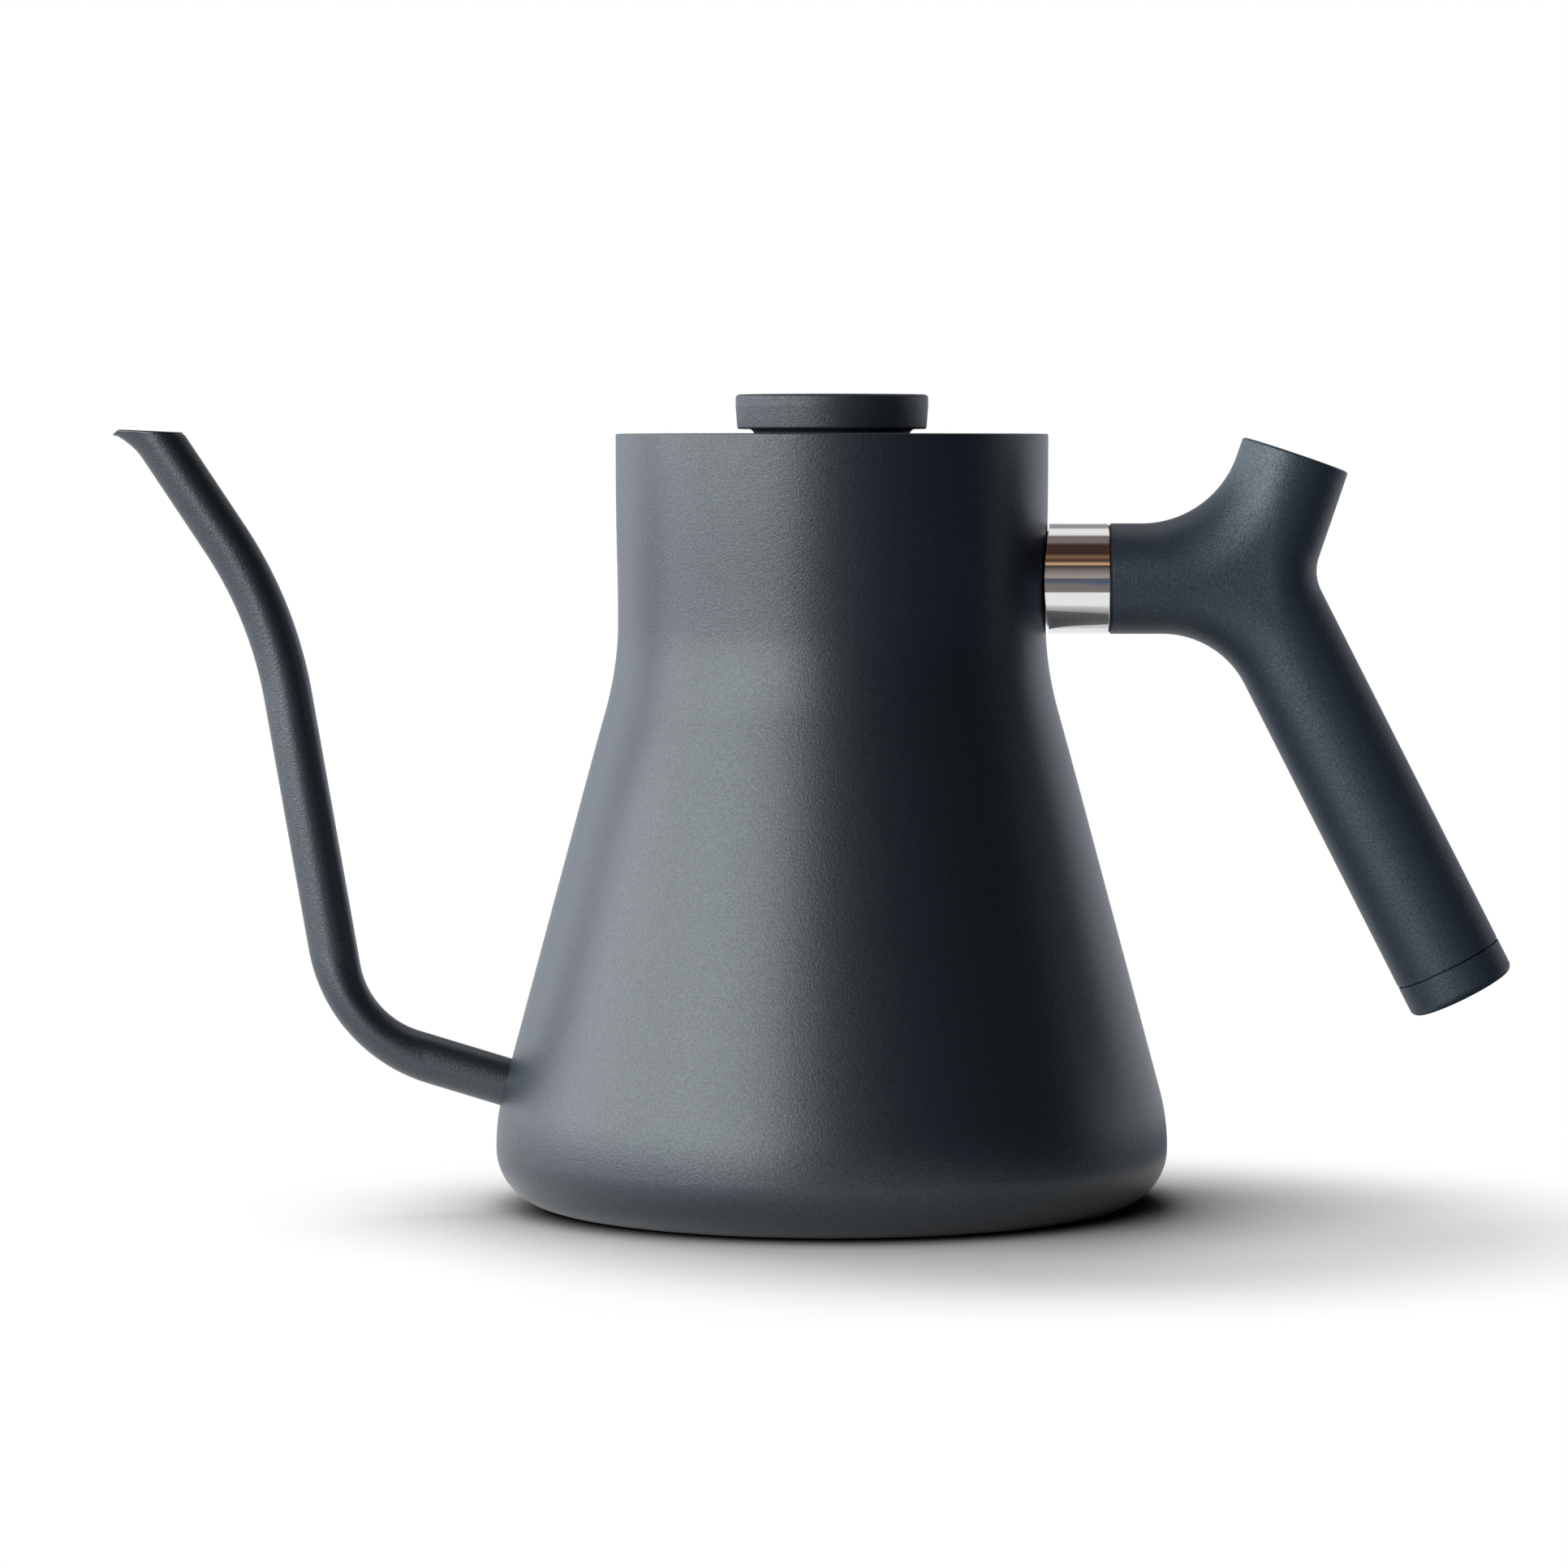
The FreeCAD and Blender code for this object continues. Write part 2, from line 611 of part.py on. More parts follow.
def end_cap():
    """Cap with its plug, a seam groove at the grip and a groove for the O-ring."""
    seam_end = GRIP_LENGTH + CAP_SEAM
    cap_end = GRIP_LENGTH + CAP_LENGTH
    groove_radius = GRIP_BORE / 2 - RING_SECTION
    groove_middle = (PLUG_START + GRIP_LENGTH) / 2
    groove_half = RING_SECTION / 2 + RING_FIT
    turned = lathe([
        (0, PLUG_START, 0),
        (PLUG_RADIUS, PLUG_START, CAP_PLUG_EDGE),
        (PLUG_RADIUS, groove_middle - groove_half, 0),
        (groove_radius, groove_middle - groove_half, 0),
        (groove_radius, groove_middle + groove_half, 0),
        (PLUG_RADIUS, groove_middle + groove_half, 0),
        (PLUG_RADIUS, GRIP_LENGTH, 0),
        (LIMB_RADIUS - CAP_SEAM_DEPTH, GRIP_LENGTH, 0),
        (LIMB_RADIUS - CAP_SEAM_DEPTH, seam_end, 0),
        (LIMB_RADIUS, seam_end, 0),
        (LIMB_RADIUS, cap_end, CAP_EDGE),
        (0, cap_end, 0),
    ])
    return along(turned, MEETING, ALONG_GRIP)


def cap_ring():
    """O-ring that holds the end cap in the bore."""
    section = RING_SECTION / 2 - RING_FIT
    o_ring = Part.makeTorus(GRIP_BORE / 2 - RING_SECTION / 2, section)
    middle = (PLUG_START + GRIP_LENGTH) / 2
    return along(o_ring, MEETING + ALONG_GRIP * middle, ALONG_GRIP)


def lid_seat():
    """Welded ring with a ledge inside the neck, which carries the lid."""
    leg = SEAT_OUTER_RADIUS - WALL
    return lathe([
        (SEAT_BORE_RADIUS, SEAT_HEIGHT - WALL, 0),
        (leg, SEAT_HEIGHT - WALL, 0),
        (leg, SEAT_HEIGHT - SEAT_LEG, 0),
        (SEAT_OUTER_RADIUS, SEAT_HEIGHT - SEAT_LEG, 0),
        (SEAT_OUTER_RADIUS, SEAT_HEIGHT, WALL),
        (SEAT_BORE_RADIUS, SEAT_HEIGHT, 0),
    ])


def lid_cover():
    """Flat cover with a turned-down edge, a hole for the knob's stud and steam vents to the spout side."""
    inner = COVER_RADIUS - COVER_THICKNESS
    cover = lathe([
        (STUD_RADIUS + STUD_FIT, LID_UNDER, 0),
        (inner, LID_UNDER, 0),
        (inner, SEAL_TOP, 0),
        (COVER_RADIUS, SEAL_TOP, 0),
        (COVER_RADIUS, LID_TOP, COVER_EDGE_ROUND),
        (STUD_RADIUS + STUD_FIT, LID_TOP, 0),
    ])
    for i in range(VENT_COUNT):
        turn = math.radians(180 + VENT_STEP * (i - (VENT_COUNT - 1) / 2))
        place = Vector(VENT_RADIUS * math.cos(turn), VENT_RADIUS * math.sin(turn), 0)
        cover = cover.cut(along(disc(VENT_DIAMETER / 2, SEAL_TOP, RIM_HEIGHT), place, UP))
    return cover


def lid_skirt():
    """Ring welded under the cover, which guides the lid in its seat."""
    return lathe([
        (SKIRT_RADIUS - SKIRT_WALL, LID_TOP - SKIRT_DEPTH, 0),
        (SKIRT_RADIUS, LID_TOP - SKIRT_DEPTH, 0),
        (SKIRT_RADIUS, LID_UNDER, 0),
        (SKIRT_RADIUS - SKIRT_FLANGE, LID_UNDER, 0),
        (SKIRT_RADIUS - SKIRT_FLANGE, LID_UNDER - SKIRT_WALL, 0),
        (SKIRT_RADIUS - SKIRT_WALL, LID_UNDER - SKIRT_WALL, 0),
    ])


def lid_seal():
    """Silicone ring round the skirt, between the cover's edge and the seat."""
    return ring(SKIRT_RADIUS + SEAT_FIT, COVER_RADIUS, SEAL_UNDER, SEAL_TOP)


def knob_housing():
    """Knob on an undercut neck: cup for the dial, ledge for the lens, stud through the lid."""
    foot = KNOB_FOOT_DIAMETER / 2
    neck = KNOB_NECK_DIAMETER / 2
    stem_hole = STEM_RADIUS + STEM_FIT
    return lathe([
        (stem_hole, STUD_END, 0),
        (STUD_RADIUS, STUD_END, STUD_EDGE),
        (STUD_RADIUS, LID_TOP, 0),
        (neck, LID_TOP, 0),
        (neck, KNOB_UNDER, KNOB_NECK_SWEEP),
        (foot, KNOB_UNDER, KNOB_FOOT_EDGE),
        (KNOB_RADIUS, KNOB_TOP - KNOB_SIDE, KNOB_SIDE_BLEND),
        (KNOB_RADIUS, KNOB_TOP, KNOB_EDGE),
        (KNOB_RADIUS - KNOB_WALL, KNOB_TOP, LENS_EDGE / 2),
        (KNOB_RADIUS - KNOB_WALL, LEDGE_HEIGHT, 0),
        (CHAMBER_RADIUS, LEDGE_HEIGHT, 0),
        (CHAMBER_RADIUS, CHAMBER_FLOOR, 0),
        (stem_hole, CHAMBER_FLOOR, 0),
    ])


def lens():
    """Glass over the dial."""
    return disc(LENS_RADIUS, LENS_UNDER, LENS_TOP, LENS_EDGE)


def lens_gasket():
    """Silicone ring between the lens and its ledge."""
    return ring(CHAMBER_RADIUS, LENS_RADIUS, LEDGE_HEIGHT, LENS_UNDER)


def dial_plate():
    """Plate with the scale, on the floor of the knob."""
    return ring(STEM_RADIUS + DIAL_FIT, CHAMBER_RADIUS - DIAL_FIT, CHAMBER_FLOOR, DIAL_TOP)


def knob_washer():
    """Silicone washer between the lid and the nut."""
    return ring(STUD_RADIUS + STUD_FIT, NUT_WASHER_DIAMETER / 2, NUT_TOP, LID_UNDER)


def knob_nut():
    """Thin hexagon nut on the knob's stud, under the lid."""
    hole = disc(STUD_RADIUS + THREAD_FIT, NUT_TOP - NUT_HEIGHT, NUT_TOP)
    return hexagon_prism(NUT_WIDTH, NUT_TOP - NUT_HEIGHT, NUT_TOP).cut(hole)


def stem_tube():
    """Thermometer stem, from the floor of the knob down into the water."""
    return ring(STEM_BORE_RADIUS, STEM_RADIUS, STEM_END + TIP_LENGTH / 2, DIAL_TOP)


def stem_tip():
    """Rounded plug that closes the lower end of the stem."""
    shoulder = STEM_END + TIP_LENGTH / 2
    plug = STEM_BORE_RADIUS - STEM_FIT
    return lathe([
        (0, STEM_END, 0),
        (STEM_RADIUS, STEM_END, TIP_ROUND),
        (STEM_RADIUS, shoulder, 0),
        (plug, shoulder, 0),
        (plug, STEM_END + TIP_LENGTH, 0),
        (0, STEM_END + TIP_LENGTH, 0),
    ])


def guide_bush():
    """Brass bush at the top of the stem, in which the pointer's shaft turns."""
    return ring(SHAFT_RADIUS + SHAFT_FIT, STEM_BORE_RADIUS - STEM_FIT, DIAL_TOP - BUSH_LENGTH, DIAL_TOP)


def coil_point(turns):
    """Point on the coil's centre line after a number of turns."""
    turn = 2 * math.pi * turns
    height = COIL_START + COIL_PITCH * turns
    return Vector(COIL_RADIUS * math.cos(turn), COIL_RADIUS * math.sin(turn), height)


def coil_heading(turns):
    """Direction of the coil's centre line after a number of turns."""
    turn = 2 * math.pi * turns
    rise = COIL_PITCH / (2 * math.pi)
    return Vector(-COIL_RADIUS * math.sin(turn), COIL_RADIUS * math.cos(turn), rise).normalize()


def tangent_arc(start, heading, end):
    """Arc that leaves a start point along a heading and reaches an end point."""
    chord = end - start
    sag = chord.Length / 2 * math.tan(heading.getAngle(chord) / 2)
    outward = (heading - chord * (heading.dot(chord) / chord.dot(chord))).normalize()
    return Part.Arc(start, start + chord * 0.5 + outward * sag, end).toShape()


def coil_quarter(turns):
    """Two tangent arcs that follow a quarter turn of the coil."""
    start, end = coil_point(turns), coil_point(turns + 0.25)
    leaving, arriving = coil_heading(turns), coil_heading(turns + 0.25)
    chord = end - start
    lean = chord.dot(leaving + arriving)
    bend = 2 * (1 - leaving.dot(arriving))
    reach = (math.sqrt(lean ** 2 + bend * chord.dot(chord)) - lean) / bend
    middle = (start + leaving * reach + end - arriving * reach) * 0.5
    return [tangent_arc(start, leaving, middle), tangent_arc(end, arriving * -1, middle)]


def bimetal_coil():
    """Wound bimetal in the lower stem: one unbroken wire that turns the shaft as it warms."""
    edges = []
    for i in range(4 * COIL_TURNS):
        edges += coil_quarter(i / 4)
    section = Part.Wire(Part.Circle(coil_point(0), coil_heading(0), COIL_WIRE / 2).toShape())
    print("bimetal_coil least gap", round(COIL_PITCH * coil_heading(0).dot(coil_heading(1)) - COIL_WIRE, 2))
    return Part.Wire(edges).makePipeShell([section], True, False)


def pointer_shaft():
    """Thin shaft from the coil up to the pointer."""
    return disc(SHAFT_RADIUS, COIL_END - SHAFT_IN_COIL, HUB_UNDER + HUB_HEIGHT)


def pointer():
    """Needle with a short tail and a hub on the shaft."""
    half = NEEDLE_WIDTH / 2
    low = HUB_UNDER + (HUB_HEIGHT - NEEDLE_THICKNESS) / 2
    corners = [
        Vector(-NEEDLE_TAIL, -half, low),
        Vector(NEEDLE_LENGTH - NEEDLE_POINT, -half, low),
        Vector(NEEDLE_LENGTH, 0, low),
        Vector(NEEDLE_LENGTH - NEEDLE_POINT, half, low),
        Vector(-NEEDLE_TAIL, half, low),
        Vector(-NEEDLE_TAIL, -half, low),
    ]
    needle = Part.Face(Part.makePolygon(corners)).extrude(UP * NEEDLE_THICKNESS)
    hub = disc(HUB_DIAMETER / 2, HUB_UNDER, HUB_UNDER + HUB_HEIGHT, HUB_EDGE)
    hole = disc(SHAFT_RADIUS + HUB_FIT, HUB_UNDER, HUB_UNDER + HUB_HEIGHT)
    turned = needle.fuse(hub).cut(hole)
    turned.rotate(AXIS_FOOT, UP, NEEDLE_REST_ANGLE)
    return turned


PIECES = [
    body_shell, neck_band, base_plate, lid_seat, spout_tube,
    handle_bracket, handle_collar, arm_washer, handle_grip, cross_screw, screw_washer,
    counterweight, counterweight_pad, end_cap, cap_ring,
    lid_cover, lid_skirt, lid_seal,
    knob_housing, lens, lens_gasket, dial_plate, knob_washer, knob_nut,
    stem_tube, stem_tip, guide_bush, bimetal_coil,
    pointer_shaft, pointer,
]

os.makedirs("parts", exist_ok=True)
for piece in PIECES:
    solid = piece()
    name = piece.__name__
    solid.exportStep("parts/" + name + ".step")
    print(name, solid.ShapeType, len(solid.Solids), solid.isValid(), round(solid.Volume, 2))
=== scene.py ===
"""Looks of a gooseneck kettle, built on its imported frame.

Metres. +X points to the handle, -X to the spout, +Z is up, and the hob is at height 0.
"""

import math

import bmesh
import bpy
import numpy as np
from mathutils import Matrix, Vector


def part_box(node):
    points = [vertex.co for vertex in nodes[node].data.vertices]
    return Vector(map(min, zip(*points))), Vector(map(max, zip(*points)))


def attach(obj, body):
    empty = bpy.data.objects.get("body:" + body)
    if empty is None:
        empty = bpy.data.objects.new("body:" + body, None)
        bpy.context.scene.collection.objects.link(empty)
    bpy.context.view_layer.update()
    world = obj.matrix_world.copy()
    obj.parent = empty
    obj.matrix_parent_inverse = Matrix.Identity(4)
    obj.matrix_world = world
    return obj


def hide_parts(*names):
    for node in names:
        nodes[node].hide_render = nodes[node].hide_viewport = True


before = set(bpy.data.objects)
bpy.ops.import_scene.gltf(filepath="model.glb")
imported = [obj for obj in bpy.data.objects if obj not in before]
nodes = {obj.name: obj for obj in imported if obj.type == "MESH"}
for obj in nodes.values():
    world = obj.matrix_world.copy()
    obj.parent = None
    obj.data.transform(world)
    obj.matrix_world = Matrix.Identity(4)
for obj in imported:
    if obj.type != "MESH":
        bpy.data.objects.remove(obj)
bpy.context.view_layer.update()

# Places read from the frame
BASE_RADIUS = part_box("body_shell")[1].y
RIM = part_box("neck_band")[1].z
COLLAR_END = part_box("handle_collar")[1].x
ARM_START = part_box("arm_washer")[1].x
LID_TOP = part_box("lid_cover")[1].z
KNOB_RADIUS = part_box("knob_housing")[1].x
KNOB_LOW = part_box("knob_housing")[0].z
KNOB_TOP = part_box("knob_housing")[1].z
DIAL_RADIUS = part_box("dial_plate")[1].x
DIAL_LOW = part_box("dial_plate")[0].z
DIAL_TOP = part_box("dial_plate")[1].z
LENS_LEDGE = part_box("lens_gasket")[0].z
LENS_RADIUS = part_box("lens")[1].x
LENS_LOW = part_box("lens")[0].z
LENS_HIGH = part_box("lens")[1].z

# Body
NECK_RADIUS = 0.04515
WALL = 0.0008
FLANGE_RADIUS = 0.0543
BASE_CORNER = 0.0116
HEEL_HEIGHT = 0.0179
HEEL_BLEND = 0.045
SHOULDER_HEIGHT = RIM - 0.0493
SHOULDER_BLEND = 0.071
RIM_ROUND = 0.00035
WAIST_DEPTH = 0.00045       # the neck draws in a little above the shoulder
WAIST_HEIGHT = 0.123
WAIST_REACH = 0.017
COAT_LAP = 0.004            # how far the coat reaches down inside the rim

# Spout
TUBE_RADIUS = 0.00505
TUBE_WALL = 0.0007
ROOT_HEIGHT = 0.0249
ROOT_BITE = 0.0005          # how far the tube reaches into the body's skin
ELBOW = np.array([-BASE_RADIUS - 0.0311, 0.0351])
MOUTH_HEIGHT = RIM + 0.0006
KNEE = np.array([-BASE_RADIUS - 0.0465, MOUTH_HEIGHT - 0.0375])
MOUTH = np.array([-BASE_RADIUS - 0.0713, MOUTH_HEIGHT])
ELBOW_INSIDE = 0.0177       # the tube is pressed flat in the elbow: its two sides bend differently
ELBOW_OUTSIDE = 0.0357
ELBOW_SPREAD = 1.25         # the most that a pressed ring grows for its area
KNEE_BEND = 0.086
MOUTH_TILT = math.radians(2.6)
LIP_FLARE = 0.0028
LIP_DEPTH = 0.006
LIP_CURL = 2.4              # higher keeps the flare closer to the mouth
LIP_WIDTH = 1.6             # higher draws out less of the front
LIP_CUT = 0.0009            # how far the tip is cut back below the mouth
LIP_CUT_FROM = 0.82         # cosine of the angle off the tip where that cut begins
TUBE_STEPS = 96             # faces round the tube
LIP_STEPS = 8               # faces over the rounded rim of the mouth
LIP_RINGS = 3               # rings of the tube that give way to that rim

# Handle
LIMB_RADIUS = 0.01155
MEETING = np.array([NECK_RADIUS + 0.0429, RIM - 0.0302])
STUB_LENGTH = 0.0273
STUB_LEAN = math.radians(18.7)
GRIP_LENGTH = 0.0903
GRIP_LEAN = math.radians(27.1)
TO_NECK = np.array([-1.0, 0.0])
ALONG_STUB = np.array([math.sin(STUB_LEAN), math.cos(STUB_LEAN)])
ALONG_GRIP = np.array([math.sin(GRIP_LEAN), -math.cos(GRIP_LEAN)])
FORK_FLAT = 0.014           # reach of the flat field where the limbs meet
ARM_STUB_FILLET = 0.021
STUB_GRIP_FILLET = 0.009
GRIP_ARM_FILLET = 0.0195
FORK_STEPS = 40             # faces along a fillet, and along each run beside it
STUB_EDGE = 0.0006
JOINT_EDGE = 0.00025
CAP_LENGTH = 0.00729
CAP_EDGE = 0.0016
CAP_SEAM = 0.00035
CAP_SEAM_DEPTH = 0.0006

# Collar
COLLAR_WALL = 0.0015
COLLAR_GAP = 0.0003         # between sleeve and neck
COLLAR_EDGE = 0.0003

ROUND_STEPS = 192           # faces round a turned piece
HALF_STEPS = 48             # faces over half a limb of the handle
RUN_HOLD = 0.01             # share of a run between its end and the point that holds it flat
EDGE_SHARE = 0.999          # an edge's arc stops just short of the start of its run
CREASE = math.radians(35)   # edges that turn by more than this stay sharp
MERGE_DISTANCE = 1e-7       # points closer than this become one


def unit(vector):
    """Vectors scaled to length 1."""
    return vector / np.linalg.norm(vector, axis=-1, keepdims=True)


def bent_line(corners, radii, run_steps, arc_steps, closed=False):
    """Points along straight runs, with a tangent arc at each rounded corner.

    An arc touches its runs at radius / tan(half the corner's angle) from the corner. Its points are the two
    contact radii blended so that they turn evenly. A run is cut into equal steps, with one more point close
    to each of its ends, so that it shades flat up to the arc.
    """
    corners = np.asarray(corners, float)
    backward = unit(np.roll(corners, 1, 0) - corners)
    forward = unit(np.roll(corners, -1, 0) - corners)
    arcs = []
    for corner, back, on, radius in zip(corners, backward, forward, radii):
        if radius == 0:
            arcs.append(corner[None])
            continue
        half = math.acos(back @ on) / 2
        centre = corner + unit(back + on) * (radius / math.sin(half))
        first = corner + back * (radius / math.tan(half)) - centre
        last = corner + on * (radius / math.tan(half)) - centre
        swing = math.pi - 2 * half
        part = np.linspace(0, 1, arc_steps + 1)[:, None]
        turned_radius = np.sin((1 - part) * swing) * first + np.sin(part * swing) * last
        arcs.append(centre + turned_radius / math.sin(swing))
    part = np.linspace(0, 1, run_steps, endpoint=False)
    part = np.concatenate([[RUN_HOLD], part[1:], [1 - RUN_HOLD]])[:, None]
    following = arcs[1:] + arcs[:1] if closed else arcs[1:]
    stretches = []
    for arc, after in zip(arcs, following):
        stretches += [arc, arc[-1] + (after[0] - arc[-1]) * part]
    if not closed:
        stretches.append(arcs[-1])
    return np.concatenate(stretches)


def in_side_view(points):
    """Points (x, z) of the side view as points in space, on the mid-plane."""
    points = np.asarray(points, float)
    return np.stack([points[..., 0], np.zeros(points.shape[:-1]), points[..., 1]], -1)


def turned(profile, start=(0, 0), direction=(0, 1), steps=ROUND_STEPS):
    """Grid of a profile turned about an axis in the side view.

    A point (radius, height) goes round a circle of its radius, that far up the axis; the first column faces
    the front.
    """
    axis = in_side_view(direction)
    front = np.array([0.0, -1.0, 0.0])
    side = np.cross(axis, front)
    angle = np.linspace(0, 2 * math.pi, steps, endpoint=False)[:, None]
    circle = np.cos(angle) * front + np.sin(angle) * side
    radius, height = np.asarray(profile).T
    return in_side_view(start) + height[:, None, None] * axis + radius[:, None, None] * circle


def patch(grid, around=True, ring=False, finish=0):
    """Points and faces of a grid: each cell of four neighbours is a face.

    around joins the last column to the first, and ring joins the last row to the first.
    """
    rows, columns = grid.shape[:2]
    number = np.arange(rows * columns).reshape(rows, columns)
    if around:
        number = np.concatenate([number, number[:, :1]], axis=1)
    if ring:
        number = np.concatenate([number, number[:1]])
    faces = np.stack([number[:-1, :-1], number[:-1, 1:], number[1:, 1:], number[1:, :-1]], -1)
    return grid.reshape(-1, 3), faces.reshape(-1, 4).tolist(), finish


def plate(points):
    """One flat face through a ring of points, in the piece's first finish."""
    return points, [list(range(len(points)))], 0


def close_up(mesh):
    """Merges the points of a mesh that fall together and turns its faces outwards."""
    work = bmesh.new()
    work.from_mesh(mesh)
    bmesh.ops.remove_doubles(work, verts=work.verts, dist=MERGE_DISTANCE)
    bmesh.ops.recalc_face_normals(work, faces=work.faces)
    work.to_mesh(mesh)
    work.free()


def make_piece(name, patches, materials, body, stands_for=()):
    """One closed mesh from patches, on its body and in its slot, in place of the solids it stands for."""
    points = np.concatenate([patch_points for patch_points, _, _ in patches])
    faces, finishes, first = [], [], 0
    for patch_points, patch_faces, finish in patches:
        faces += (np.array(patch_faces) + first).tolist()
        finishes += [finish] * len(patch_faces)
        first += len(patch_points)
    mesh = bpy.data.meshes.new(name)
    mesh.from_pydata(points.tolist(), [], faces)
    for material in materials:
        mesh.materials.append(material)
    mesh.polygons.foreach_set("material_index", finishes)
    close_up(mesh)
    mesh.polygons.foreach_set("use_smooth", np.ones(len(mesh.polygons), bool))
    mesh.set_sharp_from_angle(angle=CREASE)
    piece = bpy.data.objects.new(name, mesh)
    bpy.context.scene.collection.objects.link(piece)
    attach(piece, body)
    if stands_for:
        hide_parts(*stands_for)
    return piece


# Finishes


def add_node(tree, kind, inputs=None, **settings):
    """A new node with its settings. An input from another node is linked, any other is a plain value."""
    made = tree.nodes.new(kind)
    for setting, value in settings.items():
        setattr(made, setting, value)
    for socket, value in (inputs or {}).items():
        if isinstance(value, bpy.types.NodeSocket):
            tree.links.new(value, made.inputs[socket])
        else:
            made.inputs[socket].default_value = value
    return made


def banded(tree, value, bands):
    """Colour from a ramp through bands, each at its own value."""
    ramp = add_node(tree, "ShaderNodeValToRGB", {"Fac": value})
    stops = ramp.color_ramp.elements
    while len(stops) < len(bands):
        stops.new(1.0)
    for stop, (position, colour) in zip(stops, bands):
        stop.position = position
        stop.color = (*colour, 1)
    return ramp.outputs["Color"]


def new_finish(name, plain):
    """A node material with one principled shader; plain values go straight onto the named sockets."""
    material = bpy.data.materials.new(name)
    material.use_nodes = True
    shader = material.node_tree.nodes["Principled BSDF"]
    for socket, value in plain.items():
        shader.inputs[socket].default_value = value
    return material, shader


def grain(shader, per_metre, detail, stretch=(1, 1, 1)):
    """Noise on the piece's own coordinates, in features per metre, drawn out along an axis if asked."""
    tree = shader.id_data
    place = add_node(tree, "ShaderNodeTexCoord").outputs["Object"]
    drawn_out = add_node(tree, "ShaderNodeMapping", {"Vector": place, "Scale": stretch}).outputs["Vector"]
    noise = add_node(tree, "ShaderNodeTexNoise", {"Vector": drawn_out, "Scale": per_metre, "Detail": detail})
    return noise.outputs["Fac"]


def mottle(shader, value, dark, light, low=0.3, high=0.7):
    """Base colour that passes from dark to light as a value goes from low to high."""
    tree = shader.id_data
    tree.links.new(banded(tree, value, [(low, dark), (high, light)]), shader.inputs["Base Color"])


def vary(shader, socket, value, low, high):
    """A value between 0 and 1 spread from low to high, into a socket of the shader."""
    tree = shader.id_data
    spread = add_node(tree, "ShaderNodeMapRange", {"Value": value, "To Min": low, "To Max": high})
    tree.links.new(spread.outputs["Result"], shader.inputs[socket])


def emboss(shader, value, height, strength):
    """Fine relief from a value, as high as given in metres."""
    tree = shader.id_data
    bump = add_node(tree, "ShaderNodeBump", {"Height": value, "Distance": height, "Strength": strength})
    tree.links.new(bump.outputs["Normal"], shader.inputs["Normal"])


def powder_coat(name, dark, light, tint, dull, shine):
    """Baked slate powder coat: a dark satin skin with a fine orange-peel grain and a speckled gloss."""
    material, shader = new_finish(name, {"Specular Tint": (*tint, 1)})
    speckle = grain(shader, per_metre=2600, detail=2.0)
    mottle(shader, speckle, dark, light)
    vary(shader, "Roughness", grain(shader, per_metre=900, detail=2.0), low=0.35, high=0.41)
    vary(shader, "Specular IOR Level", speckle, low=dull, high=shine)
    emboss(shader, grain(shader, per_metre=2300, detail=2.0), height=0.00012, strength=0.45)
    return material


def soft_touch(name, dark, light, tint, shine):
    """Soft-touch slate moulding: a finer grain than the coat's, with dull specks between the glossy ones."""
    material, shader = new_finish(name, {"Specular Tint": (*tint, 1)})
    speckle = grain(shader, per_metre=3000, detail=2.0)
    mottle(shader, speckle, dark, light)
    vary(shader, "Roughness", grain(shader, per_metre=700, detail=2.0), low=0.43, high=0.51)
    vary(shader, "Specular IOR Level", speckle, low=0.0, high=shine)
    emboss(shader, grain(shader, per_metre=2000, detail=3.0), height=0.00012, strength=0.6)
    return material


def polished_steel():
    """Mirror-polished steel with the faint ring marks of its polishing."""
    material, shader = new_finish("polished_steel", {"Base Color": (0.795, 0.785, 0.78, 1), "Metallic": 1.0})
    rings = grain(shader, per_metre=400, detail=4.0, stretch=(6, 0.4, 0.4))
    waves = grain(shader, per_metre=90, detail=1.0, stretch=(1, 0.6, 0.6))
    vary(shader, "Roughness", rings, low=0.03, high=0.09)
    emboss(shader, waves, height=0.00012, strength=0.12)
    return material


def satin_steel():
    """Plain stainless steel with fine marks that run round the turned pieces."""
    material, shader = new_finish("satin_steel", {"Metallic": 1.0})
    marks = grain(shader, per_metre=500, detail=5.0, stretch=(1, 1, 9))
    mottle(shader, marks, dark=(0.52, 0.52, 0.51), light=(0.66, 0.66, 0.65))
    vary(shader, "Roughness", marks, low=0.24, high=0.40)
    emboss(shader, marks, height=0.00003, strength=0.3)
    return material


def dark_silicone():
    """Moulded silicone: matte, with a faint bloom."""
    material, shader = new_finish("dark_silicone", {})
    bloom = grain(shader, per_metre=350, detail=4.0)
    mottle(shader, bloom, dark=(0.022, 0.022, 0.024), light=(0.042, 0.042, 0.044), high=0.75)
    vary(shader, "Roughness", bloom, low=0.52, high=0.70)
    return material


def lens_glass():
    """Clear coated glass of the dial, with the faintest unevenness in its polish."""
    clear = {"Base Color": (0.98, 0.99, 0.99, 1), "Transmission Weight": 1.0, "IOR": 1.45}
    material, shader = new_finish("lens_glass", clear)
    vary(shader, "Roughness", grain(shader, per_metre=120, detail=2.0), low=0.0, high=0.03)
    return material


def dial_enamel():
    """Matte charcoal enamel of the dial plate."""
    material, shader = new_finish("dial_enamel", {"Specular IOR Level": 0.05})
    speckle = grain(shader, per_metre=1800, detail=3.0)
    mottle(shader, speckle, dark=(0.030, 0.034, 0.037), light=(0.042, 0.046, 0.050))
    vary(shader, "Roughness", grain(shader, per_metre=600, detail=2.0), low=0.65, high=0.80)
    return material


